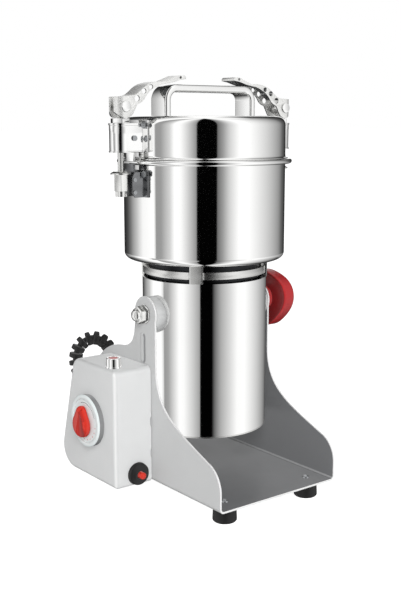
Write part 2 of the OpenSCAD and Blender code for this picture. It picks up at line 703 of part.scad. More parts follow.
module bracket(z, flip) {
    r_in = tube_r - tube_wall - 0.2;
    up(z) difference() {
        union() {
            cylinder(h = 4, r = r_in);
            ring(r_in, r_in - 4, 10);
            cylinder(h = bearing_w + 3, r = bearing_d/2 + 4);
        }
        up(flip ? -1 : 3) cylinder(h = bearing_w + 1, d = bearing_d);
        up(-1) cylinder(h = bearing_w + 6, r = bearing_d/2 - 4);
        for (a = [0:60:300]) rotate(a) translate([bearing_d/2 + 19, 0, -1]) cylinder(h = 6, r = 9);
    }
}
module motor_bracket_top() { color("darkgray") bracket(top_bracket_z, false); }
module motor_bracket_bottom() { color("darkgray") bracket(low_bracket_z, false); }
module bearings() {
    color("silver") for (z = [top_bracket_z + 3, low_bracket_z + 3]) up(z)
        ring(bearing_d/2, shaft_d/2 + run_gap, bearing_w);
}
comm_r = 14;
comm_z = low_bracket_z + bearing_w + 5;
module commutator() {
    color([0.75, 0.45, 0.25]) up(comm_z) difference() {
        union() {
            ring(comm_r, shaft_d/2, 14);
            up(11) ring(comm_r + 2.4, shaft_d/2, 3);
        }
        for (a = [0:15:345]) rotate(a) translate([comm_r - 1, -0.25, -1]) cube([6, 0.5, 16]);
    }
}
module brush_holders() {
    color([0.2, 0.14, 0.1]) both_sides() translate([comm_r + 4, -6, comm_z - 1]) difference() {
        cube([tube_r - tube_wall - comm_r - 5, 12, 11]);
        translate([-1, 2, 2]) cube([tube_r, 8, 7]);
    }
}
module carbon_brushes() {
    color([0.2, 0.2, 0.2]) both_sides() translate([comm_r + 0.3, -3.9, comm_z + 1.1]) cube([22, 7.8, 6.8]);
}
module rotor_shaft() {
    color("silver") {
        up(low_bracket_z + 1) cylinder(h = bowl_z + 44 - low_bracket_z, d = shaft_d);
        up(bowl_z + 45 - tiny) cylinder(h = 5, r1 = shaft_d/2, r2 = shaft_d/2 - 1);
    }
}
module rotor_core() {
    color("dimgray") up(stator_z) {
        difference() {
            cylinder(h = stator_l, d = rotor_d);
            up(-1) cylinder(h = stator_l + 2, d = shaft_d);
            for (a = [0:30:330]) rotate(a) translate([rotor_d/2 - 4, -1, -1]) cube([6, 2, stator_l + 2]);
        }
        for (z = [-9, stator_l]) up(z) ring(rotor_d/2 - 4, shaft_d/2, 9);
    }
}
fan_r = tube_r - 20;
fan_hub_r = shaft_d/2 + 7;
module cooling_fan() {
    color([0.15, 0.15, 0.15]) up(fan_z) {
        ring(fan_r, shaft_d/2, 2);
        ring(fan_hub_r, shaft_d/2, 14);
        for (a = [0:30:330]) rotate(a) translate([fan_hub_r - 0.5, -0.8, 1.9])
            cube([fan_r - fan_hub_r, 1.6, 11]);
    }
}
blade_z = bowl_z + 13;
module blade_bar(l, z) {
    up(z) difference() {
        translate([-l/2, -blade_w/2, 0]) cube([l, blade_w, blade_t]);
        for (s = [-1, 1]) rotate(s > 0 ? 0 : 180) translate([0, blade_w/2, -1]) rotate(-7)
            translate([blade_w/2 + 3, -3.4, 0]) cube([l, blade_w, blade_t + 2]);
        up(-1) cylinder(h = blade_t + 2, d = shaft_d);
    }
}
module blade_long() { color("silver") blade_bar(blade_l, blade_z); }
// upper blade with its tips cranked upwards
module blade_bent() {
    l = blade_l - 40;
    z = blade_z + blade_t + 12;
    color("silver") rotate(90) {
        blade_bar(l, z);
        for (s = [0, 180]) rotate(s) translate([l/2 - blade_t, -blade_w/2 + 3.4, z]) rotate([0, -52, 0])
            cube([16, blade_w - 6.8, blade_t]);
    }
}
module blade_spacer() {
    color("silver") up(blade_z - 7) ring(shaft_d/2 + 3.5, shaft_d/2, 7);
    color("silver") up(blade_z + blade_t) ring(shaft_d/2 + 3.5, shaft_d/2, 12);
}
module blade_nut() {
    color("gray") up(blade_z + 2*blade_t + 12) difference() {
        union() {
            cylinder(h = 1.6, r = 9);
            up(1.6) hex_head(16, 8);
        }
        up(-1) cylinder(h = 12, d = shaft_d);
    }
}

// lid
module lid_shell() {
    r = bowl_r;
    k = lid_corner;
    color("gainsboro") rotate_extrude($fn = 128) polygon(concat(
        [[0, lid_top], [r - k, lid_top]],
        [for (a = [80:-10:0]) [r - k + k*cos(a), lid_top - k + k*sin(a)]],
        [[r, lid_z + 3], [r + 2.6, lid_z + 0.6 + seat_gap], [r + 2.6, lid_z + seat_gap],
            [r - bowl_wall, lid_z + seat_gap]],
        [for (a = [0:10:90]) [r - k + (k - bowl_wall)*cos(a), lid_top - k + (k - bowl_wall)*sin(a)]],
        [[0, lid_top - bowl_wall]]));
}
module lid_plate() {
    r = bowl_r - bowl_wall;
    color("silver") up(lid_z + 1.6) {
        cylinder(h = 1.5, r = r);
        ring(r, r - 1.2, 12);
        up(-5.5) ring(r - lid_seal_w - 1.7, r - lid_seal_w - 3.2, 5.6);
    }
}
module lid_gasket() {
    r = bowl_r - bowl_wall;
    color([0.85, 0.85, 0.82]) up(lid_z - 3) {
        ring(r - 0.6, r - lid_seal_w - 1.6, 4.6);
    }
}
module handle() {
    h0 = lid_top;
    h1 = lid_top + handle_h;
    o = handle_l/2;
    i = o - handle_t;
    color("gainsboro") intersection() {
        xz(-handle_w/2, handle_w) polygon(concat(
            rounded([[-o, h0], [-o, h1], [o, h1], [o, h0]], [0, handle_r, handle_r, 0]),
            rounded([[i, h0], [i, h1 - handle_t], [-i, h1 - handle_t], [-i, h0]],
                [0, handle_r - handle_t + 1, handle_r - handle_t + 1, 0])));
        yz(-o - 1, handle_l + 2) translate([0, h0]) polygon([
            [-handle_w/2, 0], [-handle_w/2, handle_h - 1.4], [-handle_w/2 + 1.4, handle_h],
            [handle_w/2 - 1.4, handle_h], [handle_w/2, handle_h - 1.4], [handle_w/2, 0]]);
    }
}

// clamps, drawn for the right side; the left ones are mirrored
module wall_plate(z0, z1, t) {
    up(z0) intersection() {
        ring(bowl_r + t, bowl_r, z1 - z0);
        translate([0, -flange_w, -1]) cube([bowl_d, 2*flange_w, z1 - z0 + 2]);
    }
}
module housing_plan(r) {
    translate([rod_x, 0]) circle(r);
    translate([bowl_r - 3, -r]) square([rod_x - bowl_r + 3, 2*r]);
}
module clamp_housing() {
    difference() {
        union() {
            up(housing_z) linear_extrude(housing_h) difference() {
                housing_plan(housing_r);
                housing_plan(housing_r - clamp_t);
            }
            up(housing_top) linear_extrude(housing_plate) housing_plan(housing_r + 0.6);
            up(housing_z - housing_floor) linear_extrude(housing_floor) housing_plan(housing_r + 0.6);
            up(housing_z - housing_floor) translate([tongue_x, -tongue_w/2, -8.6])
                cube([tongue_t, tongue_w, 8.6 + tiny]);
        }
        up(housing_z - 20) cylinder(h = 80, r = bowl_r);
        up(housing_top - 1) translate([rod_x, 0, 0]) cylinder(h = 5, r = rod_d/2 + 0.7);
        up(housing_z - 3) linear_extrude(4) {
            translate([rod_x, 0]) circle(rod_d/2 + 0.5);
            translate([rod_x, -rod_d/2 - 0.5]) square([6.6, rod_d + 1]);
            translate([rod_x + 6.6, 0]) circle(rod_d/2 + 0.5);
        }
    }
    wall_plate(housing_z - housing_floor + 0.2, housing_top + 5, clamp_t - 0.1);
}
module clamp_housings() { color("gainsboro") both_sides() clamp_housing(); }
module clamp_bolts() {
    color("gray") both_sides() {
        for (s = [-1, 1]) {
            on_wall(bowl_r + clamp_t - 0.1, s*bolt_y, housing_top + 0.4) hex_head(6, 3.4);
            on_wall(bowl_r + clamp_t - 0.1, s*bolt_y, housing_z + 11) {
                rotate_extrude() polygon([[0, 0], [2.8, 0], [2.2, 1.2], [0, 1.7]]);
            }
            rod_along_y(min(s*(housing_r + 1.6), s*housing_r), max(s*(housing_r + 1.6), s*housing_r), 2.6,
                rod_x - 8.6, housing_z + 12);
        }
    }
}
module cam_nuts() {
    color("gainsboro") both_sides() translate([rod_x, 0, nut_z]) difference() {
        rotate(nut_turn) hex_head(16.4, nut_t);
        up(-1) cylinder(h = nut_t + 2, r = rod_d/2 + 0.7);
    }
}
module rod_piece() {
    translate([rod_x, 0, 0]) {
        up(latch_z - sleeve_l - 2) cylinder(h = pin_z - latch_z + sleeve_l - 2, d = rod_d);
        difference() {
            rod_along_y(-eye_w/2, eye_w/2, eye_r, 0, pin_z);
            rod_along_y(-lever_w, lever_w, pin_d/2, 0, pin_z);
        }
    }
}
module latch_nut_piece() {
    translate([rod_x, 0, latch_z]) difference() {
        union() {
            rotate_extrude() polygon([[0, 0], [flange_r, 0], [flange_r, 1.2],
                [flange_r - 3, latch_t], [0, latch_t]]);
            up(-sleeve_l) rotate(latch_turn) hex_head(13, sleeve_l + tiny);
            up(-sleeve_l - sleeve_end) cylinder(h = sleeve_end + tiny, r = 5.4);
        }
        up(-sleeve_l - 2) cylinder(h = sleeve_l + 10, d = rod_d);
    }
}
// lever: a drawn channel with a round nose, three holes, a thin strap and a flared finger tab
lever_profile = let (x = rod_x, z = pin_z, r = lever_end_r, w = lever_w/2) concat(
    [for (a = [-140:10:0]) [x + r*cos(a), z + r*sin(a)]],
    rounded([[x + r, z + 2], [x + r, z + 8.9], [x - 2, z + 9.5]], [0, 4, 0], 6),
    bez([x - 5, z + 9.7], [x - 12, z + 10.2], [x - 13, z + 12], [x - 17.8, z + 15.5]),
    bez([x - 17.8, z + 15.5], [x - 22, z + 19.4], [x - 29, z + 23.6], [x - 42, z + 23.8]),
    [[x - 47, z + 23.6], [x - 55, z + 26.6], [x - 64, z + 30], [x - 69, z + 30], [x - 70.6, z + 28.4],
        [x - 70.4, z + 26.6], [x - 63, z + 25.5], [x - 55, z + 23.1], [x - 47, z + 21.6]],
    bez([x - 42, z + 21], [x - 31, z + 17.6], [x - 26, z + 14], [x - 22.4, z + 9], 8),
    bez([x - 22.4, z + 9], [x - 20, z + 4.6], [x - 17, z + 3.4], [x - 13, z + 2], 6));
module lever_plan(inset) {
    r = lever_w/2 - inset;
    translate([rod_x, 0]) circle(r);
    translate([rod_x - 80, -r]) square([80, 2*r]);
}
lever_holes = [[12.8, 7.4, 2.9], [20.8, 14.4, 2.6], [28.8, 18.4, 2.3], [64, 27.9, 1.3]];
module lever_piece() {
    web = 1.7;
    strap_x = rod_x - 44;
    difference() {
        intersection() {
            xz(-lever_w/2, lever_w) polygon(lever_profile);
            up(pin_z - 20) linear_extrude(60) lever_plan(0);
        }
        intersection() {
            xz(-lever_w/2 + clamp_t, lever_w - 2*clamp_t) for (drop = [web, 8, 16])
                translate([0, -drop]) polygon(lever_profile);
            up(pin_z - 40) linear_extrude(80) lever_plan(clamp_t);
            translate([strap_x, -lever_w, pin_z - 40]) cube([80, 2*lever_w, 80]);
        }
        // room for the rod and its eye when the lever is open
        translate([rod_x, -rod_d/2 - 0.7, pin_z - 20]) cube([20, rod_d + 1.4, 40]);
        up(pin_z) linear_extrude(20) intersection() {
            lever_plan(clamp_t);
            translate([rod_x - 4.5, -lever_w]) square([30, 2*lever_w]);
        }
        rod_along_y(-lever_w, lever_w, pin_d/2 + run_gap, rod_x, pin_z);
        for (h = lever_holes, y = [-1, 1]) rod_along_y(min(y, 0)*lever_w, max(y, 0)*lever_w, h[2],
            rod_x - h[0], pin_z + h[1]);
    }
}
module lever_pin_piece() {
    rod_along_y(-lever_w/2 - 0.2, lever_w/2 + 0.2, pin_d/2, rod_x, pin_z);
    for (y = [-lever_w/2 - 1.4, lever_w/2 + 0.2]) rod_along_y(y, y + 1.2, 5, rod_x, pin_z);
}
module hook_brackets() {
    web_x = rod_x - 6;
    color("dimgray") both_sides() {
        difference() {
            union() {
                for (y = [-housing_r, housing_r - clamp_t]) xz(y, clamp_t) polygon([
                    [bowl_r - 3, latch_z - 22], [web_x - 3, latch_z - 22], [web_x, latch_z - 18],
                    [web_x, latch_z - 3], [web_x - 3, latch_z + 2.4], [bowl_r - 3, latch_z + 2.4]]);
                up(latch_z + 0.6) linear_extrude(1.8)
                    translate([bowl_r - 3, -housing_r]) square([web_x - bowl_r, 2*housing_r]);
                translate([tongue_x, -tongue_w/2, latch_z + 2.4 - tiny]) cube([tongue_t, tongue_w, 7.6]);
            }
            up(latch_z - 30) cylinder(h = 60, r = bowl_r);
            translate([rod_x, 0, latch_z - 1]) cylinder(h = 5, r = flange_r + seat_gap + 0.2);
            translate([rod_x, 0, latch_z - 30]) cylinder(h = 31, r = 8.2);
        }
        wall_plate(latch_z - 22, latch_z + 4, clamp_t);
    }
}
module bracket_bolts() {
    color("gray") both_sides() for (s = [-1, 1]) {
        on_wall(bowl_r + clamp_t, s*bolt_y, latch_z + 0.4) hex_head(6, 3.4);
        for (z = [latch_z - 17, latch_z - 5]) rod_along_y(min(s*(housing_r + 1), s*housing_r),
            max(s*(housing_r + 1), s*housing_r), 2, rod_x - 8.6, z);
    }
}

at_axis() base_frame();
at_axis() feet();
at_axis() foot_screws();
at_axis() box_shell();
at_axis() box_screws();
at_axis() timer_body();
at_axis() dial_plate();
at_axis() timer_knob();
at_axis() breaker_body();
at_axis() reset_collar();
at_axis() reset_button();
at_axis() lamp_bezel();
at_axis() lamp_lens();
at_axis() terminal_block();
at_axis() cable_glands();
at_axis() motor_lead();
at_axis() pivot_bolt();
at_axis() lock_knob();
at_axis() lock_stud();
at_axis() motor_tube();
at_axis() neck_ring();
at_axis() tube_cover();
at_axis() cover_screws();
at_axis() saddles();
at_axis() bowl();
at_axis() shaft_seal();
at_axis() stator_core();
at_axis() field_coils();
at_axis() motor_bracket_top();
at_axis() motor_bracket_bottom();
at_axis() bearings();
at_axis() brush_holders();
at_axis() carbon_brushes();
at_axis() lead_grommet();
at_axis() hook_brackets();
at_axis() bracket_bolts();
at_axis() rotor_shaft();
at_axis() rotor_core();
at_axis() commutator();
at_axis() cooling_fan();
at_axis() blade_long();
at_axis() blade_bent();
at_axis() blade_spacer();
at_axis() blade_nut();
at_axis() lid_shell();
at_axis() lid_plate();
at_axis() lid_gasket();
at_axis() handle();
at_axis() clamp_housings();
at_axis() clamp_bolts();
at_axis() cam_nuts();
at_axis() mirror([1, 0, 0]) color("silver") rod_piece();  // rod_left
at_axis() color("silver") rod_piece();  // rod_right
at_axis() mirror([1, 0, 0]) color("silver") latch_nut_piece();  // latch_nut_left
at_axis() color("silver") latch_nut_piece();  // latch_nut_right
at_axis() mirror([1, 0, 0]) color("gainsboro") lever_piece();  // lever_left
at_axis() color("gainsboro") lever_piece();  // lever_right
at_axis() mirror([1, 0, 0]) color("silver") lever_pin_piece();  // lever_pin_left
at_axis() color("silver") lever_pin_piece();  // lever_pin_right
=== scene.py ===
import json
import math

import bmesh
import bpy
from mathutils import Matrix, Vector

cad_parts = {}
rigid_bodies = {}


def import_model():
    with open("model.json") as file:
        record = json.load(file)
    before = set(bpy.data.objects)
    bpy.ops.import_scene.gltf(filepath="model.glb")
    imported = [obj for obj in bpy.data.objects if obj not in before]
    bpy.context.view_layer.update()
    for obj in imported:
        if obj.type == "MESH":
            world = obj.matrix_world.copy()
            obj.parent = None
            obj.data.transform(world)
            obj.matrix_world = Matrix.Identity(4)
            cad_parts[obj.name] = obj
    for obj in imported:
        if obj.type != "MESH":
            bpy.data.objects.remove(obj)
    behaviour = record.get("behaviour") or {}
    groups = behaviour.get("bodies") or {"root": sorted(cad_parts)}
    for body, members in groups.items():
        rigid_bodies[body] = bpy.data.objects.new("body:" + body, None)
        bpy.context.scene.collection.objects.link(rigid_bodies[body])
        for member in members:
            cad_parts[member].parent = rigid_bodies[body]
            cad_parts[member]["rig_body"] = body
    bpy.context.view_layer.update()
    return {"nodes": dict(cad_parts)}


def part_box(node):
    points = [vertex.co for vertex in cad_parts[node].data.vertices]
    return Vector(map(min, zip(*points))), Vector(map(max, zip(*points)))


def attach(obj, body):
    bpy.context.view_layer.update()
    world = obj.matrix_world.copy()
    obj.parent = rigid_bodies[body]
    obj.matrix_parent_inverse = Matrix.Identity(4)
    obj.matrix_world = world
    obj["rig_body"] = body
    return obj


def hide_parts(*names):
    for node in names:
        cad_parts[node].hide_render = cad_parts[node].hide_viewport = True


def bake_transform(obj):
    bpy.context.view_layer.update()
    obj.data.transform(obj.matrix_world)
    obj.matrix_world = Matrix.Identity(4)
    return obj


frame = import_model()
nodes = frame["nodes"]
mm = 0.001
tubeLow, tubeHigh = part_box("motor_tube")
axisX = (tubeLow.x + tubeHigh.x) / 2    # the motor's axis is upright
axisY = (tubeLow.y + tubeHigh.y) / 2
print("frame loaded:", len(nodes), "nodes")


def linear(hexColour):
    # sRGB hex to the linear values that the nodes take
    parts = [int(hexColour[i:i + 2], 16) / 255 for i in (1, 3, 5)]
    return [p / 12.92 if p <= 0.04045 else ((p + 0.055) / 1.055) ** 2.4 for p in parts] + [1.0]


def addNode(tree, kind, inputs=None, stops=None, **settings):
    # one node with its settings, its values and the links into it; a node among the inputs means its first output
    node = tree.nodes.new(kind)
    for name, value in settings.items():
        setattr(node, name, value)
    for socket, value in (inputs or {}).items():
        if isinstance(value, bpy.types.Node):
            value = value.outputs[0]
        if isinstance(value, bpy.types.NodeSocket):
            tree.links.new(value, node.inputs[socket])
        else:
            node.inputs[socket].default_value = value
    for number, (place, colour) in enumerate(stops or []):
        ramp = node.color_ramp.elements
        stop = ramp[number] if number < 2 else ramp.new(place)
        stop.position = place
        stop.color = linear(colour)
    return node


def emptied(data):
    # the node tree of a world or a material, without the nodes that it begins with
    data.use_nodes = True
    data.node_tree.nodes.clear()
    return data.node_tree


def linked(name, data):
    # a new object in the scene
    obj = bpy.data.objects.new(name, data)
    bpy.context.scene.collection.objects.link(obj)
    return obj


def direction(azimuth, elevation):
    # towards a place round the object, from its angles in degrees
    azimuth, elevation = math.radians(azimuth), math.radians(elevation)
    return Vector((math.sin(azimuth) * math.cos(elevation), -math.cos(azimuth) * math.cos(elevation),
                   math.sin(elevation)))


# the camera stands where the photograph was taken from
cameraPlace = {
    "azimuth": -37.726,      # degrees round the object
    "elevation": 10.444,
    "distance": 1.01998,     # m
    "target": (-3.03, 2.35, 194.87),   # mm from the motor's axis and the floor
    "lens": 58.6,
    "film": 36,
}


def makeCamera(place):
    back = direction(place["azimuth"], place["elevation"])
    target = Vector(place["target"]) * mm + Vector((axisX, axisY, 0))
    camera = linked("camera", bpy.data.cameras.new("camera"))
    camera.data.lens = place["lens"]
    camera.data.sensor_width = place["film"]
    camera.location = target + back * place["distance"]
    camera.rotation_euler = back.to_track_quat("Z", "Y").to_euler()
    bpy.context.scene.camera = camera


makeCamera(cameraPlace)
print("camera placed")

studio = {
    "turn": -37.726,         # the cards and boxes stand round this direction, in degrees
    # how bright the plain light is that all but mirrors see, each after the sine of the angle where it is so
    "low": (0.05, 0.62),     # near the horizon
    "high": (0.8, 0.28),     # overhead
    "rightShare": (0.8, 0.75),   # what is left of it at the right-hand side
    "cardLight": 1.08,       # how bright metal sees the cards
    "key": 17.5,             # W, the soft box beside the camera
    "keySize": 0.6,          # m
    "keyPlace": (-33, 27, 1.7),   # its azimuth and elevation in degrees, and its distance in m
    "keyAim": 0.2,           # m, the height that it is aimed at
    "floor": 30.0,           # m, half the floor's side
    "paper": "#f2f2f2",      # its colour
    "floorLift": 0.88,       # how far the floor is lifted towards white for the camera
}
# what polished steel sees, by angle from the front: black card, grey edges, soft boxes and a dark back
cards = {
    "upper": [(0, "#020202"), (17.4, "#020202"), (18.2, "#6a6a6a"), (26, "#9a9a9a"), (35, "#d0d0d0"),
              (50, "#ffffff"), (64, "#ffffff"), (86, "#e0e0e0"), (113, "#b4b4b4"), (130, "#929292"),
              (142, "#606060"), (159, "#2c2c2c"), (206, "#2c2c2c"), (220, "#4a4a4a"), (231, "#747474"),
              (249, "#bebebe"), (263, "#f4f4f4"), (284, "#ffffff"), (287, "#dcdcdc"), (287.8, "#949494"),
              (297, "#989898"), (311, "#d0d0d0"), (318, "#ffffff"), (327, "#fafafa"), (339, "#c6c6c6"),
              (349.2, "#8c8c8c"), (350.0, "#020202")],
    # low down the black card is narrower and the left soft box reaches further back
    "lower": [(0, "#020202"), (14.6, "#020202"), (15.4, "#2a2a2a"), (20, "#6c6c6c"), (31, "#aaaaaa"),
              (49, "#d8d8d8"), (64, "#fafafa"), (80, "#fdfdfd"), (107, "#d6d6d6"), (130, "#aeaeae"),
              (150, "#848484"), (172, "#3c3c3c"), (196, "#303030"), (212, "#6c6c6c"), (236, "#bebebe"),
              (252, "#ffffff"), (272, "#ffffff"), (278.6, "#d8d8d8"), (280, "#949494"), (290, "#a2a2a2"),
              (304, "#dcdcdc"), (313, "#fdfdfd"), (322, "#f8f8f8"), (340, "#c8c8c8"), (352.2, "#9c9c9c"),
              (353.0, "#020202")],
    "between": (-0.35, -0.155),   # where the lower ones hang, as the sine of their elevation
    "white": "#fbfbfb",       # the ceiling and the light gap behind the object
    "ceiling": (0.8, 0.95),   # where the ceiling begins, as the sine of its elevation
    "ceilingEnd": (0.26, 0.22),   # how far round from right behind the object it reaches, as shares of the circle
    "slot": 0.03,             # half the width of the light gap there, as a share of the circle
    "slotFoot": (-0.03, -0.01),   # and how far down it goes, as the sine of the elevation
    "edge": 0.003,            # how soft the cards' edges are
}


def cardColour(tree, outlook, cards, turn):
    # the cards' colour by angle round the object and by height
    parts = addNode(tree, "ShaderNodeSeparateXYZ", {0: outlook}).outputs
    ahead = addNode(tree, "ShaderNodeMath", {0: parts["Y"], 1: -1.0}, operation="MULTIPLY")
    around = addNode(tree, "ShaderNodeMath", {0: parts["X"], 1: ahead}, operation="ARCTAN2")
    turned = addNode(tree, "ShaderNodeMath", {0: around, 1: -turn}, operation="ADD")
    share = addNode(tree, "ShaderNodeMath", {0: turned, 1: math.tau}, operation="DIVIDE")
    circle = addNode(tree, "ShaderNodeMath", {0: share}, operation="FRACT")
    upper, lower = [addNode(tree, "ShaderNodeValToRGB", {0: circle},
                            stops=[(angle / 360, colour) for angle, colour in cards[half]])
                    for half in ("upper", "lower")]
    (bottom, top), soft = cards["between"], cards["edge"]
    under = addNode(tree, "ShaderNodeMapRange", {0: parts["Z"], 1: bottom + soft, 2: bottom - soft})
    over = addNode(tree, "ShaderNodeMapRange", {0: parts["Z"], 1: top - soft, 2: top + soft})
    either = addNode(tree, "ShaderNodeMath", {0: under, 1: over}, operation="MAXIMUM")
    stripes = addNode(tree, "ShaderNodeMixRGB", {0: either, 1: lower, 2: upper})
    # the white ceiling and the light gap behind the object
    away = addNode(tree, "ShaderNodeMath", {0: circle, 1: 0.5}, operation="SUBTRACT")
    side = addNode(tree, "ShaderNodeMath", {0: away}, operation="ABSOLUTE")
    limits = {"high": (parts["Z"], *cards["ceiling"]), "behind": (side, *cards["ceilingEnd"]),
              "narrow": (side, cards["slot"] + 2 * soft, cards["slot"]), "above": (parts["Z"], *cards["slotFoot"])}
    share = {name: addNode(tree, "ShaderNodeMapRange", dict(enumerate(values))) for name, values in limits.items()}
    overhead = addNode(tree, "ShaderNodeMath", {0: share["high"], 1: share["behind"]}, operation="MULTIPLY")
    gap = addNode(tree, "ShaderNodeMath", {0: share["narrow"], 1: share["above"]}, operation="MULTIPLY")
    white = addNode(tree, "ShaderNodeMath", {0: overhead, 1: gap}, operation="MAXIMUM")
    return addNode(tree, "ShaderNodeMixRGB", {0: white, 1: stripes, 2: linear(cards["white"])})


def makeWorld(light):
    bpy.context.scene.world = bpy.data.worlds.new("studio")
    tree = emptied(bpy.context.scene.world)
    turn = math.radians(light["turn"])
    outlook = addNode(tree, "ShaderNodeTexCoord").outputs["Generated"]
    height = addNode(tree, "ShaderNodeSeparateXYZ", {0: outlook}).outputs["Z"]
    (start, low), (stop, high) = light["low"], light["high"]
    upward = addNode(tree, "ShaderNodeMapRange", {0: height, 1: start, 2: stop, 3: low, 4: high})
    sideways = addNode(tree, "ShaderNodeVectorMath", {0: outlook, 1: (math.cos(turn), math.sin(turn), 0)},
                       operation="DOT_PRODUCT").outputs["Value"]
    far, left = light["rightShare"]
    rightward = addNode(tree, "ShaderNodeMapRange", {0: sideways, 1: 0.0, 2: far, 3: 1.0, 4: left})
    plain = addNode(tree, "ShaderNodeMath", {0: upward, 1: rightward}, operation="MULTIPLY")
    soft = addNode(tree, "ShaderNodeBackground", {0: linear("#ffffff"), 1: plain})
    cardLight = addNode(tree, "ShaderNodeBackground", {0: cardColour(tree, outlook, cards, turn),
                                                       1: light["cardLight"]})
    backdrop = addNode(tree, "ShaderNodeBackground", {0: linear("#ffffff"), 1: 1.0})
    path = addNode(tree, "ShaderNodeLightPath").outputs
    mirrored = addNode(tree, "ShaderNodeMixShader", {0: path["Is Glossy Ray"], 1: soft, 2: cardLight})
    clear = addNode(tree, "ShaderNodeMixShader", {0: path["Is Transmission Ray"], 1: mirrored, 2: backdrop})
    shown = addNode(tree, "ShaderNodeMixShader", {0: path["Is Camera Ray"], 1: clear, 2: backdrop})
    addNode(tree, "ShaderNodeOutputWorld", {0: shown})


def makeSoftBox(light):
    # shapes the painted and moulded surfaces and lights their rounded edges
    lamp = bpy.data.lights.new("soft_box", "AREA")
    lamp.size = light["keySize"]
    lamp.energy = light["key"]
    box = linked("soft_box", lamp)
    azimuth, elevation, distance = light["keyPlace"]
    way = direction(azimuth, elevation)
    box.location = Vector((axisX, axisY, light["keyAim"])) + way * distance
    box.rotation_euler = way.to_track_quat("Z", "Y").to_euler()
    box.visible_glossy = False


def makeFloor(light):
    # white paper, lifted for the camera so that only the shadow tells it from the backdrop
    material = bpy.data.materials.new("floor_white_paper")
    tree = emptied(material)
    paper = addNode(tree, "ShaderNodeBsdfDiffuse", {0: linear(light["paper"])})
    path = addNode(tree, "ShaderNodeLightPath").outputs
    lift = addNode(tree, "ShaderNodeMath", {0: path["Is Camera Ray"], 1: light["floorLift"]}, operation="MULTIPLY")
    glow = addNode(tree, "ShaderNodeEmission", {0: linear("#ffffff"), 1: lift})
    both = addNode(tree, "ShaderNodeAddShader", {0: paper, 1: glow})
    addNode(tree, "ShaderNodeOutputMaterial", {0: both})
    half = light["floor"]
    mesh = bpy.data.meshes.new("floor")
    mesh.from_pydata([(-half, -half, 0), (half, -half, 0), (half, half, 0), (-half, half, 0)], [], [(0, 1, 2, 3)])
    mesh.materials.append(material)
    floor = linked("floor", mesh)
    floor.visible_glossy = False


makeWorld(studio)
makeSoftBox(studio)
makeFloor(studio)
bpy.context.scene.view_settings.view_transform = "Standard"
print("studio lit")


# how finely colour and gloss drift over a surface, per m, and between which sums of the two noises
drift = {"scale": 28, "sums": (0.7, 1.3)}


def surface(name, colour, metallic, roughness, spread, bump, size, shade, grain=(1, 1, 1), painted_light=None, paintedHighlight=None):
    # colour and roughness drift over the surface, a grain of `size` mm lifts it by `bump` mm, the faces
    # marked with painted light, such as insides, take a painted shade or a painted highlight of their own, and the
    # faces marked -1, such as cut edges, take a painted highlight;
    # real grain and polishing marks are finer than 0.1 mm, and are drawn coarser so that they show
    material = bpy.data.materials.new(name)
    material.use_nodes = True
    tree = material.node_tree
    shader = tree.nodes["Principled BSDF"]
    shader.inputs["Metallic"].default_value = metallic
    place = addNode(tree, "ShaderNodeTexCoord").outputs["Object"]
    stretched = addNode(tree, "ShaderNodeMapping", {"Vector": place, "Scale": grain})
    fine = addNode(tree, "ShaderNodeTexNoise", {"Vector": stretched, "Scale": 1 / (size * mm), "Detail": 3})
    broad = addNode(tree, "ShaderNodeTexNoise", {"Vector": place, "Scale": drift["scale"], "Detail": 2})
    both = addNode(tree, "ShaderNodeMath", {0: fine, 1: broad}, operation="ADD")
    least, most = drift["sums"]
    gloss = addNode(tree, "ShaderNodeMapRange", {0: both, 1: least, 2: most, 3: roughness - spread,
                                                 4: roughness + spread})
    tone = addNode(tree, "ShaderNodeMixRGB", {0: broad, 1: linear(shade), 2: linear(colour)})
    # painted shade, or a painted highlight, on the faces that are marked for it
    if painted_light:
        marked = addNode(tree, "ShaderNodeAttribute", attribute_name="painted_light").outputs["Fac"]
        tone = addNode(tree, "ShaderNodeMixRGB", {0: marked, 1: tone, 2: linear(painted_light)})
    # a painted highlight on the faces marked -1
    if paintedHighlight:
        away = addNode(tree, "ShaderNodeMath", {0: marked, 1: -1.0}, operation="MULTIPLY")
        tone = addNode(tree, "ShaderNodeMixRGB", {0: away, 1: tone, 2: linear(paintedHighlight)})
    raised = addNode(tree, "ShaderNodeBump", {"Height": fine, "Distance": bump * mm, "Strength": 1.0})
    for socket, source in (("Roughness", gloss), ("Base Color", tone), ("Normal", raised)):
        tree.links.new(source.outputs[0], shader.inputs[socket])
    return material


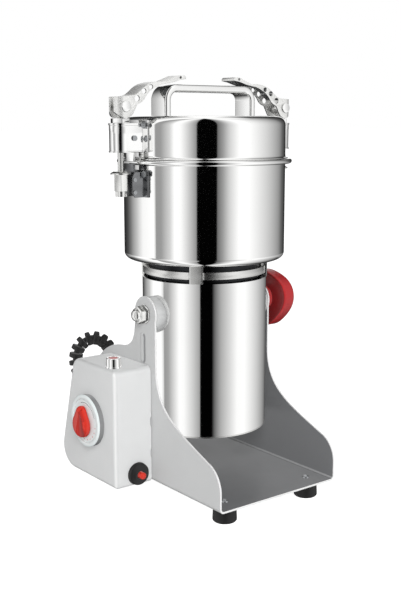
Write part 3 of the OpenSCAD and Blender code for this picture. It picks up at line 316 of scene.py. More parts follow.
finishes = {
    # polished stainless sheet: a clear mirror with hair-fine upright polishing marks
    "stainless_polished": surface("stainless_mirror_polished", "#fdfdfc", 1.0, 0.05, 0.015, 0.0002, 0.6,
                                  shade="#f8f8f7", grain=(0.02, 0.02, 1)),
    # stainless drawn and brushed: a soft sheen with upright lines; its dark colour is a painted shade, used for the
    # sleeve behind the neck's slots
    "stainless_brushed": surface("stainless_brushed", "#e8e8e6", 1.0, 0.24, 0.06, 0.004, 0.5,
                                 shade="#dcdcda", painted_light="#2e2f31", grain=(0.03, 0.03, 1)),
    # small stainless castings and turned parts, tumbled bright: white, with soft edges
    "stainless_cast": surface("stainless_tumbled", "#f6f6f4", 1.0, 0.22, 0.04, 0.004, 1.2, shade="#ececea"),
    # silver lacquer over steel sheet: satin, with a fine metal flake; greyer inside as a painted shade, and white on
    # its cut edges and rounded outer faces as a painted highlight
    "base_enamel": surface("silver_lacquer_sheet", "#dcdddd", 0.2, 0.42, 0.04, 0.01, 0.5,
                           shade="#d2d3d3", painted_light="#797a7c", paintedHighlight="#ffffff"),
    # the same lacquer on the box, paler, with a finer flake, and a painted highlight of white along its front fold
    "box_enamel": surface("silver_lacquer_box", "#eeefef", 0.15, 0.4, 0.04, 0.012, 0.5,
                          shade="#e4e5e5", painted_light="#ffffff"),
    # the levers, blasted and then tumbled: satin white, with a painted shade of grey in their holes
    "levers_satin": surface("stainless_satin", "#fafaf8", 0.7, 0.42, 0.04, 0.004, 1.2,
                            shade="#f2f2f0", painted_light="#6c6e70"),
    # clamp housings, lever pins and handle, buffed: a mirror that is slightly hazy, with a painted shade of grey
    # under the pins' edges
    "stainless_buffed": surface("stainless_buffed", "#fbfbfa", 1.0, 0.1, 0.03, 0.001, 0.8,
                                shade="#f2f2f1", painted_light="#5e6062"),
    # zinc plate on screws and rivets: bluish grey with a satin shine
    "zinc_screws": surface("zinc_plated_steel", "#b9bbbd", 1.0, 0.3, 0.06, 0.005, 0.6, shade="#9fa2a5"),
    # moulded nitrile rubber: matt black
    "rubber_black": surface("nitrile_rubber_black", "#161616", 0.0, 0.6, 0.08, 0.02, 0.4, shade="#1c1c1c"),
    # moulded ABS: black with a fine spark-eroded grain
    "plastic_black": surface("abs_black", "#0e0e0e", 0.0, 0.44, 0.05, 0.01, 0.4, shade="#141414"),
    # nylon spiral sleeve: black, waxy
    "sleeve_black": surface("nylon_black_sleeve", "#1a1a1a", 0.0, 0.46, 0.06, 0.01, 0.5, shade="#222222"),
    # moulded ABS: bright red, glossy, with a painted shade of darker red in its hollow
    "plastic_red": surface("abs_red", "#e03422", 0.0, 0.3, 0.05, 0.008, 0.5, shade="#d42a1a", painted_light="#a80e02"),
    # moulded phenolic: deep red, glossy, with a painted shade of maroon on its back
    "knob_red": surface("phenolic_red", "#c4282c", 0.0, 0.3, 0.05, 0.01, 0.6, shade="#b62226", painted_light="#7a1a1c"),
    # acrylic lens: clear deep red
    "lens_red": surface("acrylic_red_lens", "#c0302c", 0.0, 0.12, 0.03, 0.002, 0.8, shade="#a82420"),
    # moulded ABS dial, satin white, with a painted shade of grey at its side
    "dial_silver": surface("abs_satin_white_dial", "#f6fdfd", 0.0, 0.35, 0.04, 0.004, 0.4,
                           shade="#f0f8f8", painted_light="#8f9091"),
    # moulded phenolic: cream, matt
    "ceramic_white": surface("phenolic_cream", "#e3ddcf", 0.0, 0.5, 0.06, 0.01, 0.5, shade="#d6cfc0"),
    # stacked silicon steel: thin sheets with dark lines between them
    "lamination_steel": surface("silicon_steel_stack", "#7d7f82", 0.9, 0.45, 0.08, 0.05, 0.5,
                                shade="#6c6e71", grain=(0.02, 0.02, 1)),
    # enamelled copper wire, wound: fine turns, amber
    "copper_winding": surface("enamelled_copper", "#b8642c", 0.9, 0.32, 0.06, 0.05, 0.6,
                              shade="#8f4317", grain=(1, 1, 0.05)),
    # pressed graphite: dark grey, matt
    "carbon": surface("graphite_brush", "#2a2a2c", 0.1, 0.55, 0.08, 0.01, 0.3, shade="#38383b"),
    # sintered bronze: dull gold with pores
    "bronze": surface("sintered_bronze", "#a97c42", 0.95, 0.38, 0.06, 0.01, 0.3, shade="#8f6634"),
    # die-cast aluminium with a coat of black oxide and meal dust: dark grey, grainy
    "aluminium_cast": surface("aluminium_die_cast", "#4c4e51", 0.8, 0.5, 0.08, 0.03, 0.8, shade="#3a3c3e"),
    # silicone ring: off-white, matt
    "silicone": surface("silicone_white", "#e9e7e1", 0.0, 0.5, 0.05, 0.01, 0.5, shade="#dddbd4"),
    # pressed stainless with its mill finish: grey, darker than what is polished
    "bracket_dark": surface("stainless_pressed_bracket", "#8c8d8f", 1.0, 0.22, 0.05, 0.006, 0.8, shade="#77787a"),
}

slotOf = {}
for name, obj in nodes.items():
    slotOf[name] = obj.data.materials[0].name
    obj.data.materials[0] = finishes[slotOf[name]]
print("materials made:", len(finishes))


def at(x, y, z):
    # a place in mm from the motor's axis and the table
    return Vector((axisX + x * mm, axisY + y * mm, z * mm))


def corners(node):
    # a node's lowest and highest corners in mm from the motor's axis and the table
    return [(corner - Vector((axisX, axisY, 0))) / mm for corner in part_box(node)]


def centre(node):
    low, high = corners(node)
    return (low + high) / 2


# what stands round the polished tube stays out of its mirror, which shows the soft boxes only
unmirrored = {nodes[name]["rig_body"] for name in ("base_frame", "timer_knob", "reset_button", "lock_knob")}
for obj in nodes.values():
    obj.visible_glossy = obj["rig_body"] not in unmirrored


def meshFrom(work):
    # an edited shape as a new mesh with its faces pointing outwards
    bmesh.ops.recalc_face_normals(work, faces=work.faces)
    mesh = bpy.data.meshes.new("work")
    work.to_mesh(mesh)
    work.free()
    return mesh


def skin(loops, closed=False):
    # a mesh through loops of points; a loop of one point closes an end, and other ends get a flat face
    work = bmesh.new()
    rings = [[work.verts.new(point) for point in loop] for loop in loops]
    for lower, upper in list(zip(rings, rings[1:])) + ([(rings[-1], rings[0])] if closed else []):
        for k in range(max(len(lower), len(upper))):
            around = [lower[k % len(lower)], lower[(k + 1) % len(lower)],
                      upper[(k + 1) % len(upper)], upper[k % len(upper)]]
            work.faces.new(list(dict.fromkeys(around)))
    if not closed:
        for ring in (rings[0], rings[-1]):
            if len(ring) > 2:
                work.faces.new(ring)
    bmesh.ops.remove_doubles(work, verts=work.verts, dist=0.001 * mm)
    return meshFrom(work)


def arc(middle, radius, start, stop, steps):
    # points of a flat arc, from one angle to another in degrees
    turns = [math.radians(start + (stop - start) * k / steps) for k in range(steps + 1)]
    return [(middle[0] + radius * math.cos(turn), middle[1] + radius * math.sin(turn)) for turn in turns]


def quarter(radius, steps):
    # how far a rounded edge has come forward and inward, step by step
    turns = [math.radians(90 * k / steps) for k in range(steps + 1)]
    return [(radius * math.sin(turn), radius - radius * math.cos(turn)) for turn in turns]


def rounded(points, steps):
    # a closed flat outline of (u, v, radius), with an arc at each corner that has a radius
    outline = []
    for k, (u, v, radius) in enumerate(points):
        here = Vector((u, v))
        before = (Vector(points[k - 1][:2]) - here).normalized()
        after = (Vector(points[(k + 1) % len(points)][:2]) - here).normalized()
        if radius <= 0:
            outline.append((u, v))
            continue
        half = before.angle(after) / 2
        middle = here + (before + after).normalized() * radius / math.sin(half)
        first = here + before * radius / math.tan(half) - middle
        last = here + after * radius / math.tan(half) - middle
        start = math.degrees(math.atan2(first.y, first.x))
        turn = (math.degrees(math.atan2(last.y, last.x)) - start + 540) % 360 - 180
        outline += arc(middle, radius, start, start + turn, steps)
    return outline


def bezier(a, b, c, d, steps):
    # points of a flat cubic curve
    return [tuple((1 - t) ** 3 * p + 3 * (1 - t) ** 2 * t * q + 3 * (1 - t) * t * t * r + t ** 3 * s
                  for p, q, r, s in zip(a, b, c, d)) for t in [k / steps for k in range(steps + 1)]]


def baked(mesh, kind, **settings):
    # the mesh with a modifier applied
    scratch = linked("scratch", mesh)
    modifier = scratch.modifiers.new(kind, kind)
    for name, value in settings.items():
        setattr(modifier, name, value)
    done = bpy.data.meshes.new_from_object(scratch.evaluated_get(bpy.context.evaluated_depsgraph_get()))
    bpy.data.objects.remove(scratch)
    return done


def carved(mesh, other, operation="DIFFERENCE"):
    # the mesh less another, joined to it or kept within it
    tool = linked("tool", other)
    done = baked(mesh, "BOOLEAN", operation=operation, object=tool, solver="EXACT")
    bpy.data.objects.remove(tool)
    return done


def joined(meshes):
    # several meshes as one
    work = bmesh.new()
    for mesh in meshes:
        work.from_mesh(mesh)
    return meshFrom(work)


beyond = 5     # mm, how far a cutting tool reaches past what it cuts


def newTree(name, **sockets):
    # a Geometry Nodes tree with named inputs, and the sockets that give them
    tree = bpy.data.node_groups.new(name, "GeometryNodeTree")
    for socket, kind in sockets.items():
        tree.interface.new_socket(socket, in_out="INPUT", socket_type="NodeSocket" + kind)
    tree.interface.new_socket("Made", in_out="OUTPUT", socket_type="NodeSocketGeometry")
    return tree, addNode(tree, "NodeGroupInput").outputs


def pieceAt(tree, points, along, piece):
    # a piece on each point, its own Z along a direction
    turn = addNode(tree, "FunctionNodeAlignRotationToVector", {"Vector": along}, axis="Z")
    shape = addNode(tree, "GeometryNodeObjectInfo", {"Object": piece}).outputs["Geometry"]
    return addNode(tree, "GeometryNodeInstanceOnPoints", {"Points": points, "Instance": shape, "Rotation": turn})


def endTree(tree, made, finish):
    # instances made real, and their finish
    real = addNode(tree, "GeometryNodeRealizeInstances", {"Geometry": made})
    coated = addNode(tree, "GeometryNodeSetMaterial", {"Geometry": real, "Material": finish})
    addNode(tree, "NodeGroupOutput", {0: coated})
    return tree


def grown(tree, source, **inputs):
    # what a Geometry Nodes tree makes of a mesh or a curve, as a plain mesh
    holder = linked("holder", source)
    modifier = holder.modifiers.new("grow", "NODES")
    modifier.node_group = tree
    for item in tree.interface.items_tree:
        if item.in_out == "INPUT" and item.name in inputs:
            modifier[item.identifier] = inputs[item.name]
    holder.update_tag()
    done = bpy.data.meshes.new_from_object(holder.evaluated_get(bpy.context.evaluated_depsgraph_get()))
    bpy.data.objects.remove(holder)
    return joined([done])


def moved(mesh, place, along="Z"):
    # the mesh put at a place, with its own Z turned to an axis
    turn = Vector({"Z": (0, 0, 1), "X": (1, 0, 0), "-X": (-1, 0, 0), "Y": (0, 1, 0)}[along])
    mesh.transform(Matrix.Translation(place) @ turn.to_track_quat("Z", "Y").to_matrix().to_4x4())
    return mesh


def settle(name, mesh, node, sharp=32, blended=False, painted_light=None, slot=None, look=None, level=False):
    # a finished piece: its material, smooth faces, the node it stands for and the body it moves with;
    # the painted-light function of a place in mm and a normal tells how much painted shade or painted highlight a
    # face takes, `slot` is there when it isn't the node's own,
    # `look` is a finish of its own for the slot, `level` keeps wide flat faces flat up to what swells
    # from them, and a blended piece is not attached to a body
    slot = slot or slotOf[node]
    mesh.materials.clear()
    mesh.materials.append(finishes[look or slot])
    mesh.shade_smooth()
    mesh.set_sharp_from_angle(angle=math.radians(sharp))
    if level:
        mesh = baked(mesh, "WEIGHTED_NORMAL", keep_sharp=True, weight=90)
    mesh.name = name
    # each face's share of painted shade or painted highlight
    if painted_light:
        marks = mesh.attributes.new("painted_light", "FLOAT", "FACE")
        for face, mark in zip(mesh.polygons, marks.data):
            mark.value = float(painted_light((face.center - Vector((axisX, axisY, 0))) / mm, face.normal))
    piece = linked(name, mesh)
    body = nodes[node]["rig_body"]
    if not blended:
        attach(piece, body)
    piece.visible_glossy = body not in unmirrored
    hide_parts(node)
    return piece


def dress(node, width, look=None, painted_light=None):
    # a copy of a CAD node with its edges broken, as cut, pressed and moulded edges are; what is flat in it
    # becomes one face first, so that only real edges are broken
    work = bmesh.new()
    work.from_mesh(nodes[node].data)
    bmesh.ops.remove_doubles(work, verts=work.verts, dist=0.002 * mm)
    bmesh.ops.dissolve_limit(work, angle_limit=math.radians(0.4), verts=work.verts, edges=work.edges)
    mesh = meshFrom(work)
    if "custom_normal" in mesh.attributes:
        mesh.attributes.remove(mesh.attributes["custom_normal"])
    mesh = baked(mesh, "BEVEL", width=width * mm, segments=2, limit_method="ANGLE", angle_limit=math.radians(30),
                 use_clamp_overlap=False)
    settle(node + "_dressed", mesh, node, painted_light=painted_light, look=look)


def latheTree():
    # turns the profile in the X-Z plane about Z, facet by facet
    tree, given = newTree("turn_on_lathe", Profile="Geometry", Facets="Int", Finish="Material")
    rows = addNode(tree, "GeometryNodeAttributeDomainSize", {0: given["Profile"]}, component="MESH")
    columns = addNode(tree, "ShaderNodeMath", {0: given["Facets"], 1: 1.0}, operation="ADD")
    grid = addNode(tree, "GeometryNodeMeshGrid", {"Vertices X": columns, "Vertices Y": rows})
    index = addNode(tree, "GeometryNodeInputIndex")
    share = addNode(tree, "ShaderNodeMath", {0: index, 1: rows}, operation="DIVIDE")
    column = addNode(tree, "ShaderNodeMath", {0: share}, operation="FLOOR")
    row = addNode(tree, "ShaderNodeMath", {0: index, 1: rows}, operation="MODULO")
    sampled = addNode(tree, "GeometryNodeSampleIndex", data_type="FLOAT_VECTOR", domain="POINT")
    position = addNode(tree, "GeometryNodeInputPosition").outputs[0]
    for socket, source in (("Geometry", given["Profile"]), ("Value", position), ("Index", row.outputs[0])):
        tree.links.new(source, sampled.inputs[socket])
    portion = addNode(tree, "ShaderNodeMath", {0: column, 1: given["Facets"]}, operation="DIVIDE")
    angle = addNode(tree, "ShaderNodeMath", {0: portion, 1: math.tau}, operation="MULTIPLY")
    around = addNode(tree, "ShaderNodeVectorRotate", {"Vector": sampled, "Angle": angle}, rotation_type="Z_AXIS")
    placed = addNode(tree, "GeometryNodeSetPosition", {"Geometry": grid, "Position": around})
    merged = addNode(tree, "GeometryNodeMergeByDistance", {"Geometry": placed, "Distance": 0.002 * mm})
    return endTree(tree, merged, given["Finish"])


turnOnLathe = latheTree()


def turned(profile, finish, facets):
    # a turned shape from (radius, height) points in mm, about Z
    mesh = bpy.data.meshes.new("profile")
    mesh.from_pydata([(radius * mm, 0, height * mm) for radius, height in profile],
                     [(k, k + 1) for k in range(len(profile) - 1)], [])
    return grown(turnOnLathe, mesh, Facets=facets, Finish=finishes[finish])


def cylinder(radius, low, high, finish, facets):
    return turned([(0, low), (radius, low), (radius, high), (0, high)], finish, facets)


# bowl and lid, spun from sheet and polished
vessel = {
    "radius": 82.0,      # mm
    "wall": 1.5,
    "bowlCorner": 6.5,
    "bowlFloor": 2.0,
    "hub": 15.0,
    "rim": 5.2,          # the rolled rim's section
    "rimReach": 6.6,
    "rimFoot": ((0, -5.8), (0, -5.2), (0.1, -3.2), (0.6, -2.2), (1.4, -1.9)),   # out from the wall, up from its top
    "lidCorner": 9.0,
    "lipFoot": 4.6,      # above the lid's lower edge
    "lip": ((0, 4.0), (0, 1.4), (0.9, 1.0), (2.6, 0.8)),   # its curve, out from the wall and up from the lower edge
    "level": 0.5,        # a ring this close to a corner keeps the wall beyond it level in a mirror
    "facets": 256,
}


def makeVessel(v):
    r, wall, bead, hub = v["radius"], v["wall"], v["rim"] / 2, v["hub"]
    low, high = corners("bowl")
    corner, floor = v["bowlCorner"], low.z + v["bowlFloor"]
    bowl = [(hub, low.z)] + arc((r - corner, low.z + corner), corner, -90, 0, 12)
    bowl += [(r, low.z + corner + v["level"])] + [(r + out, high.z + up) for out, up in v["rimFoot"]]
    bowl += arc((r + v["rimReach"] - bead, high.z - bead), bead, 165, 450, 20)
    bowl += [(r, high.z), (r - wall + 0.3, high.z), (r - wall, high.z - 0.4)]
    bowl += arc((r - corner, low.z + corner), corner - wall, 0, -90, 12)[:-1]
    bowl += [(r - corner, floor), (hub, floor), (hub, low.z)]
    low, high = corners("lid_shell")
    corner, flare = v["lidCorner"], v["lip"][-1][0]
    lid = [(0, high.z), (r * 0.5, high.z)] + arc((r - corner, high.z - corner), corner, 90, 0, 12)
    lid += [(r, high.z - corner - v["level"]), (r, low.z + v["lipFoot"])]
    lid += bezier(*[(r + out, low.z + up) for out, up in v["lip"]], 6)
    lid += [(r + flare + 0.2, low.z + 0.5), (r + flare, low.z), (r - wall, low.z)]
    lid += arc((r - corner, high.z - corner), corner - wall, 0, 90, 12)
    lid += [(r * 0.5, high.z - wall), (0, high.z - wall)]
    for name, profile, node in (("bowl_spun", bowl, "bowl"), ("lid_spun", lid, "lid_shell")):
        mesh = moved(turned(profile, "stainless_polished", v["facets"]), at(0, 0, 0))
        settle(name, mesh, node)


makeVessel(vessel)
print("bowl and lid turned")

# lid handle: flat bar bent to a bow, its edges rolled over
handleBar = {
    "corner": 15.0,      # mm, outer radius of its bends
    "thickness": 7.0,
    "edge": 2.4,         # radius along its long edges
}


def makeHandle(h):
    low, high = corners("handle")
    half, edge = h["thickness"] / 2, h["edge"]
    bend = h["corner"] - half
    left, right, top = low.x + half, high.x - half, high.z - half
    route = [((left, low.z), (-1, 0))]
    for x, start, stop in ((left + bend, 180, 90), (right - bend, 90, 0)):
        route += [((u, v), ((u - x) / bend, (v - top + bend) / bend))
                  for u, v in arc((x, top - bend), bend, start, stop, 12)]
    route.append(((right, low.z), (1, 0)))
    wide = (high.y - low.y) / 2
    section = rounded([(s * wide, t * half, edge) for s, t in ((-1, -1), (1, -1), (1, 1), (-1, 1))], 5)
    y = centre("handle").y
    loops = [[at(u + out[0] * s, y + w, v + out[1] * s) for w, s in section] for (u, v), out in route]
    settle("handle_bow", skin(loops), "handle", 40, slot="stainless_brushed", look="stainless_buffed")


makeHandle(handleBar)

# control box: folded sheet with rounded edges, leaning at the back
controlBox = {
    "wall": 1.5,         # mm
    "edge": 4.6,         # radius round the left face
    "cheekGap": 1.1,     # how far it ends before the CAD box does, at the cheek
    "lean": 15.0,        # degrees, at the back
    "backTop": 69.0,     # the upper rear corner behind the motor's axis
    "cornersRound": (4, 22, 11, 6),   # front low, rear low, rear high, front high
    "dialHole": 5.2,
    "collarHole": 8.0,
    "lampHole": 5.0,
    "seamSlots": ((30.5, 9.0), (63.5, 11.0)),   # height and length of the gaps against the cheek
    "seamDepth": 4.0,
    "seamThin": 0.2,     # width of a gap as a share of its length
    "glint": (0.72, 0.3),   # how far left the front fold's painted highlight is brightest, as a sine, and how soon it fades
}


def boxOutline(box, low, high, inset):
    lean = math.tan(math.radians(box["lean"]))
    side = inset / math.cos(math.radians(box["lean"]))
    back = box["backTop"] + (high.z - low.z - inset) * lean - side
    points = [(low.y + inset, low.z + inset), (back, low.z + inset),
              (box["backTop"] + inset * lean - side, high.z - inset), (low.y + inset, high.z - inset)]
    return rounded([(u, v, max(r - inset, 1)) for (u, v), r in zip(points, box["cornersRound"])], 10)


def boxSkin(box, low, high, inset):
    # loops from the cheek out to the left face, turned in at its edge by a quarter round
    start = low.x + inset + box["edge"]
    loops = [(high.x - box["cheekGap"] - inset, 0)]
    loops += [(start - forward, inward) for forward, inward in quarter(box["edge"], 10)]
    return [[at(x, u, v) for u, v in boxOutline(box, low, high, inset + inward)] for x, inward in loops]


def makeBox(box):
    low, high = corners("box_shell")
    dial, collar, lamp = [centre(node) for node in ("dial_plate", "reset_collar", "lamp_bezel")]
    holes = (("dialHole", at(low.x, dial.y, dial.z), "X"), ("collarHole", at(collar.x, low.y, collar.z), "Y"),
             ("lampHole", at(lamp.x, lamp.y, high.z), "Z"))
    cuts = [moved(cylinder(box[hole], -beyond, beyond, "box_enamel", 48), place, along)
            for hole, place, along in holes]
    # the front face is let in twice along the cheek, where the box is hooked on
    for height, length in box["seamSlots"]:
        lens = cylinder(length / 2, -box["seamDepth"], box["seamDepth"], "box_enamel", 40)
        lens.transform(Matrix.Diagonal((box["seamThin"], 1, 1, 1)))
        cuts.append(moved(lens, at(high.x - 1.2, low.y, low.z + height), "Y"))
    shell = carved(joined([skin(boxSkin(box, low, high, inset)) for inset in (0, box["wall"])]), joined(cuts))
    leftward, fade = box["glint"]

    def glint(place, normal):
        # a painted highlight on the front fold, brightest along its middle
        folded = place.x < low.x + box["edge"] and normal.y < -0.3
        return max(0.0, 1.0 - abs(-normal.x - leftward) / fade) if folded else 0.0

    settle("box_folded", shell, "box_shell", 40, painted_light=glint)


makeBox(controlBox)
print("box and handle made")

# dial plate: a raised disc with a bevelled rim and a groove
dialFace = {
    "groove": 22.3,      # mm, radius of the groove inside the rim
    "step": 0.9,         # how far the field lies below the rim
    "bore": 5.4,
    "whiteReach": 1.9,        # how far the white face comes round its side; beyond it the side takes a painted shade
}


def makeDial(d):
    low, high = corners("dial_plate")
    r, t = (high.z - low.z) / 2, high.x - low.x
    groove = d["groove"]
    profile = [(d["bore"], 0), (r - 0.4, 0), (r - 0.2, t - 2.2)] + arc((r - 1.3, t - 1.5), 1.3, 0, 80, 6)
    profile += [(r - 2.2, t), (groove + 0.9, t - 0.1), (groove + 0.5, t - 0.3), (groove + 0.2, t - d["step"] - 0.5),
                (groove - 0.4, t - d["step"] - 0.5), (groove - 0.6, t - d["step"]), (d["bore"], t - d["step"]),
                (d["bore"], 0)]
    middle = centre("dial_plate")
    mesh = moved(turned(profile, "dial_silver", 128), at(high.x, middle.y, middle.z), "-X")
    # the side beyond the white takes a painted shade
    settle("dial_moulded", mesh, "dial_plate", 28,
           painted_light=lambda place, normal: place.x > low.x + d["whiteReach"] and abs(normal.x) < 0.5)


makeDial(dialFace)

# timer knob: egg-shaped, with a hollow that widens downwards from a point
timerKnob = {
    "round": (0.4, -0.1),       # radius and height of its wide end, as shares of the knob's height
    "tip": (0.19, 0.31),        # and of its narrow end
    "gap": 0.3,                 # mm, between knob and dial
    "foot": ((0, 0.9), (0.5, 0.3), (1.2, 0)),   # height and inset up its lower edge
    "edge": 5.2,
    "hollow": (14.0, 9.6, 4.0),   # how high its point is, its half width at the foot and its depth there
    "hollowLength": 34.0,
    "hollowShift": 4.4,         # towards the front
    "swelling": 0.8,            # below 1 the hollow's sides are bowed outwards
    "stem": (4.4, 1.2),         # its radius, and how far it reaches past the dial
}


def eggOutline(knob, height):
    # round a wide end and a narrow end, with straight flanks between them
    wide, low = (share * height for share in knob["round"])
    tip, top = (share * height for share in knob["tip"])
    lean = math.degrees(math.asin((wide - tip) / (top - low)))
    return arc((0, top), tip, lean, 180 - lean, 18) + arc((0, low), wide, 180 - lean, 360 + lean, 40)


def inset(outline, by):
    # an outline drawn in by so many mm
    points = []
    for k, (u, v) in enumerate(outline):
        along = (Vector(outline[(k + 1) % len(outline)]) - Vector(outline[k - 1])).normalized()
        points.append((u - along.y * by, v + along.x * by))
    return points


def makeTimerKnob(knob):
    low, high = corners("timer_knob")
    middle = centre("timer_knob")
    plateLow, plateHigh = corners("dial_plate")
    face = plateLow.x - knob["gap"]
    deep, edge = face - low.x, knob["edge"]
    levels = [*knob["foot"], *((deep - edge + forward, inward) for forward, inward in quarter(edge, 9))]
    outline = eggOutline(knob, high.z - low.z)
    block = skin([[Vector((u, v, height)) * mm for u, v in inset(outline, by)] for height, by in levels])
    point, wide, sunk = knob["hollow"]
    length, shift, swelling = knob["hollowLength"], knob["hollowShift"], knob["swelling"]
    above = 0.4     # mm, how far the hollow's tool starts above the knob's face
    rings = []
    for k in range(13):
        share = max(k / 12, 0.02) ** swelling
        rings.append([Vector((shift + wide * share * math.cos(turn), point - k / 12 * length,
                              deep + above + (sunk + above) * share * math.sin(turn))) * mm
                      for turn in [math.tau * n / 40 for n in range(40)]])
    radius, past = knob["stem"]
    stem = cylinder(radius, plateLow.x - plateHigh.x - past, 0.1, "plastic_red", 32)
    mesh = joined([carved(block, skin(rings)), stem])
    # its own Z points out of the box's left face and its own Y stays up
    frameTurn = Matrix(((0, 0, -1, 0), (-1, 0, 0, 0), (0, 1, 0, 0), (0, 0, 0, 1)))
    mesh.transform(Matrix.Translation(at(face, middle.y, middle.z)) @ frameTurn)

    def hollowShade(place, normal):
        # a painted shade in the hollow, darkest along its middle
        across, up, out = middle.y - place.y - shift, place.z - middle.z, face - place.x
        reach = 0.6 + wide * max(0.0, (point - up) / length) ** swelling
        inside = 1.0 < out < deep - 0.1 and abs(across) < reach and normal.x < -0.35 and up < point
        return (1.0 - 0.5 * abs(across) / reach) if inside else 0.0

    settle("timer_knob_moulded", mesh, "timer_knob", 40, painted_light=hollowShade)


makeTimerKnob(timerKnob)
print("dial and knob made")

# red lock knob: broad lobes, a soft edge and a sunk middle
lockKnob = {
    "radius": 32.5,      # mm, over a lobe
    "lobes": 3,
    "rest": 166.0,       # degrees, where one lobe points, from the rear upwards
    "depth": 2.2,        # half the difference between lobe and valley
    "edge": 3.4,
    "boss": (13.0, 6.0),   # its radius and height
    "bore": 5.01,
    "back": ((0, 3.2), (0.3, 2.0), (1.0, 1.0), (2.4, 0.3), (4.0, 0)),   # height and inset up from its back
    "dish": ((0, 7.0, 0.7), (0.3, 9.2, 0.5), (1.4, 11.0, 0.3)),   # depth, inset and what is left of the lobes
}


def makeLockKnob(k):
    low, high = corners("lock_knob")
    z = centre("lock_stud").z
    r, edge = k["radius"], k["edge"]
    bossRadius, boss = k["boss"]
    thick = high.x - low.x - boss

    def loop(height, inset, lobes=1.0):
        points = []
        for a in range(0, 360, 3):
            turn = math.radians(a)
            wave = 1 - math.cos(k["lobes"] * (turn - math.radians(k["rest"])))
            reach = r - inset - lobes * k["depth"] * wave
            points.append(at(low.x + boss + height, reach * math.cos(turn), z + reach * math.sin(turn)))
        return points

    loops = [loop(-boss, r - bossRadius, 0), loop(-0.2, r - bossRadius, 0), loop(0, r - bossRadius - 0.4, 0)]
    loops += [loop(*level) for level in k["back"]]
    loops += [loop(thick - edge + forward, inward) for forward, inward in quarter(edge, 6)]
    loops += [loop(thick - depth, inset, lobes) for depth, inset, lobes in k["dish"]]
    loops += [loop(height, r - k["bore"], 0) for height in (thick - k["dish"][-1][0], -boss)]
    # the faces that look along -X, towards the motor tube, take a painted shade
    settle("lock_knob_moulded", skin(loops, closed=True), "lock_knob", 50, painted_light=lambda place, normal: normal.x < -0.6)


makeLockKnob(lockKnob)

# motor lead: ribs on a sleeve that arches from the box over the cheek to the motor tube
lead = {
    "points": ((-96.5, 79.1, 108.6), (-96.5, 84, 110), (-97, 89.9, 112.6), (-98, 94.9, 117.6),
               (-98.5, 97.1, 124.6), (-98, 97.2, 132.5), (-95.3, 95.8, 140.7), (-89.5, 93.1, 147.5),
               (-81.5, 89.6, 150.3), (-73.4, 86, 147.8), (-67.2, 83.4, 141.2), (-63.4, 81.6, 133),
               (-62.4, 77.6, 125.6), (-60.6, 71, 119.4), (-55.4, 63.4, 115.4), (-49.4, 55.8, 114.4),
               (-43.1, 48.7, 114.4)),   # mm from the motor's axis and the table
    "core": 6.4,         # diameters in mm
    "rib": 14.6,
    "ribs": 16,
    "ribWidth": 0.66,    # as a share of the step from rib to rib
    "bareStart": 6.4,
    "bareEnd": 5.4,
}


def leadTree():
    # a core swept along the curve, and a rib set on it at even steps
    tree, given = newTree("ribbed_sleeve", Route="Geometry", Rib="Object", Ribs="Int", First="Float", Last="Float",
                          Core="Float", Finish="Material")
    circle = addNode(tree, "GeometryNodeCurvePrimitiveCircle", {"Resolution": 20, "Radius": given["Core"]})
    fine = addNode(tree, "GeometryNodeResampleCurve", {"Curve": given["Route"], "Count": 160})
    core = addNode(tree, "GeometryNodeCurveToMesh", {"Curve": fine, "Profile Curve": circle, "Fill Caps": True})
    ribbed = addNode(tree, "GeometryNodeTrimCurve", {"Curve": fine}, mode="LENGTH")
    ends = [socket for socket in ribbed.inputs if socket.enabled and socket.name in ("Start", "End")]
    for socket, value in zip(ends, (given["First"], given["Last"])):
        tree.links.new(value, socket)
    points = addNode(tree, "GeometryNodeCurveToPoints", {"Curve": ribbed, "Count": given["Ribs"]},
                     mode="COUNT").outputs
    both = addNode(tree, "GeometryNodeJoinGeometry")
    for part in (core, pieceAt(tree, points["Points"], points["Tangent"], given["Rib"])):
        tree.links.new(part.outputs[0], both.inputs[0])
    return endTree(tree, both, given["Finish"])


def splinePoints(points, steps=12):
    # a smooth curve through the points, as the CAD lead has it
    route = []
    for k in range(len(points) - 1):
        a, b, c, d = [Vector(points[max(0, min(len(points) - 1, k + n))]) for n in (-1, 0, 1, 2)]
        for n in range(steps):
            t = n / steps
            route.append(0.5 * (2 * b + (c - a) * t + (2 * a - 5 * b + 4 * c - d) * t * t
                                + (3 * b - a - 3 * c + d) * t ** 3))
    return route + [Vector(points[-1])]


def makeLead(cord):
    route = splinePoints(cord["points"])
    length = sum((b - a).length for a, b in zip(route, route[1:]))
    path = [at(*place) for place in route]
    curve = bpy.data.curves.new("lead_route", "CURVE")
    curve.dimensions = "3D"
    spline = curve.splines.new("POLY")
    spline.points.add(len(route) - 1)
    for point, place in zip(spline.points, path):
        point.co = (*place, 1)
    first, last = cord["bareStart"], length - cord["bareEnd"]
    pitch = (last - first) / cord["ribs"]
    r, core, half = cord["rib"] / 2, cord["core"] / 2 - 0.2, pitch * cord["ribWidth"] / 2
    flank = [(core, half + 0.3), (r - 1.2, half), (r - 0.3, half - 0.25), (r, half - 0.9)]
    profile = [(radius, -height) for radius, height in flank] + flank[::-1] + [(core, -half - 0.3)]
    rib = linked("rib", turned(profile, "sleeve_black", 28))
    mesh = grown(leadTree(), curve, Rib=rib, Ribs=cord["ribs"], First=(first + pitch / 2) * mm,
                 Last=(last - pitch / 2) * mm, Core=cord["core"] / 2 * mm, Finish=finishes["sleeve_black"])
    bpy.data.objects.remove(rib)
    piece = settle("motor_lead_sleeve", mesh, "motor_lead", 40, blended=True)
    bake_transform(piece)
    print("lead length", round(length, 1), "mm")


makeLead(lead)

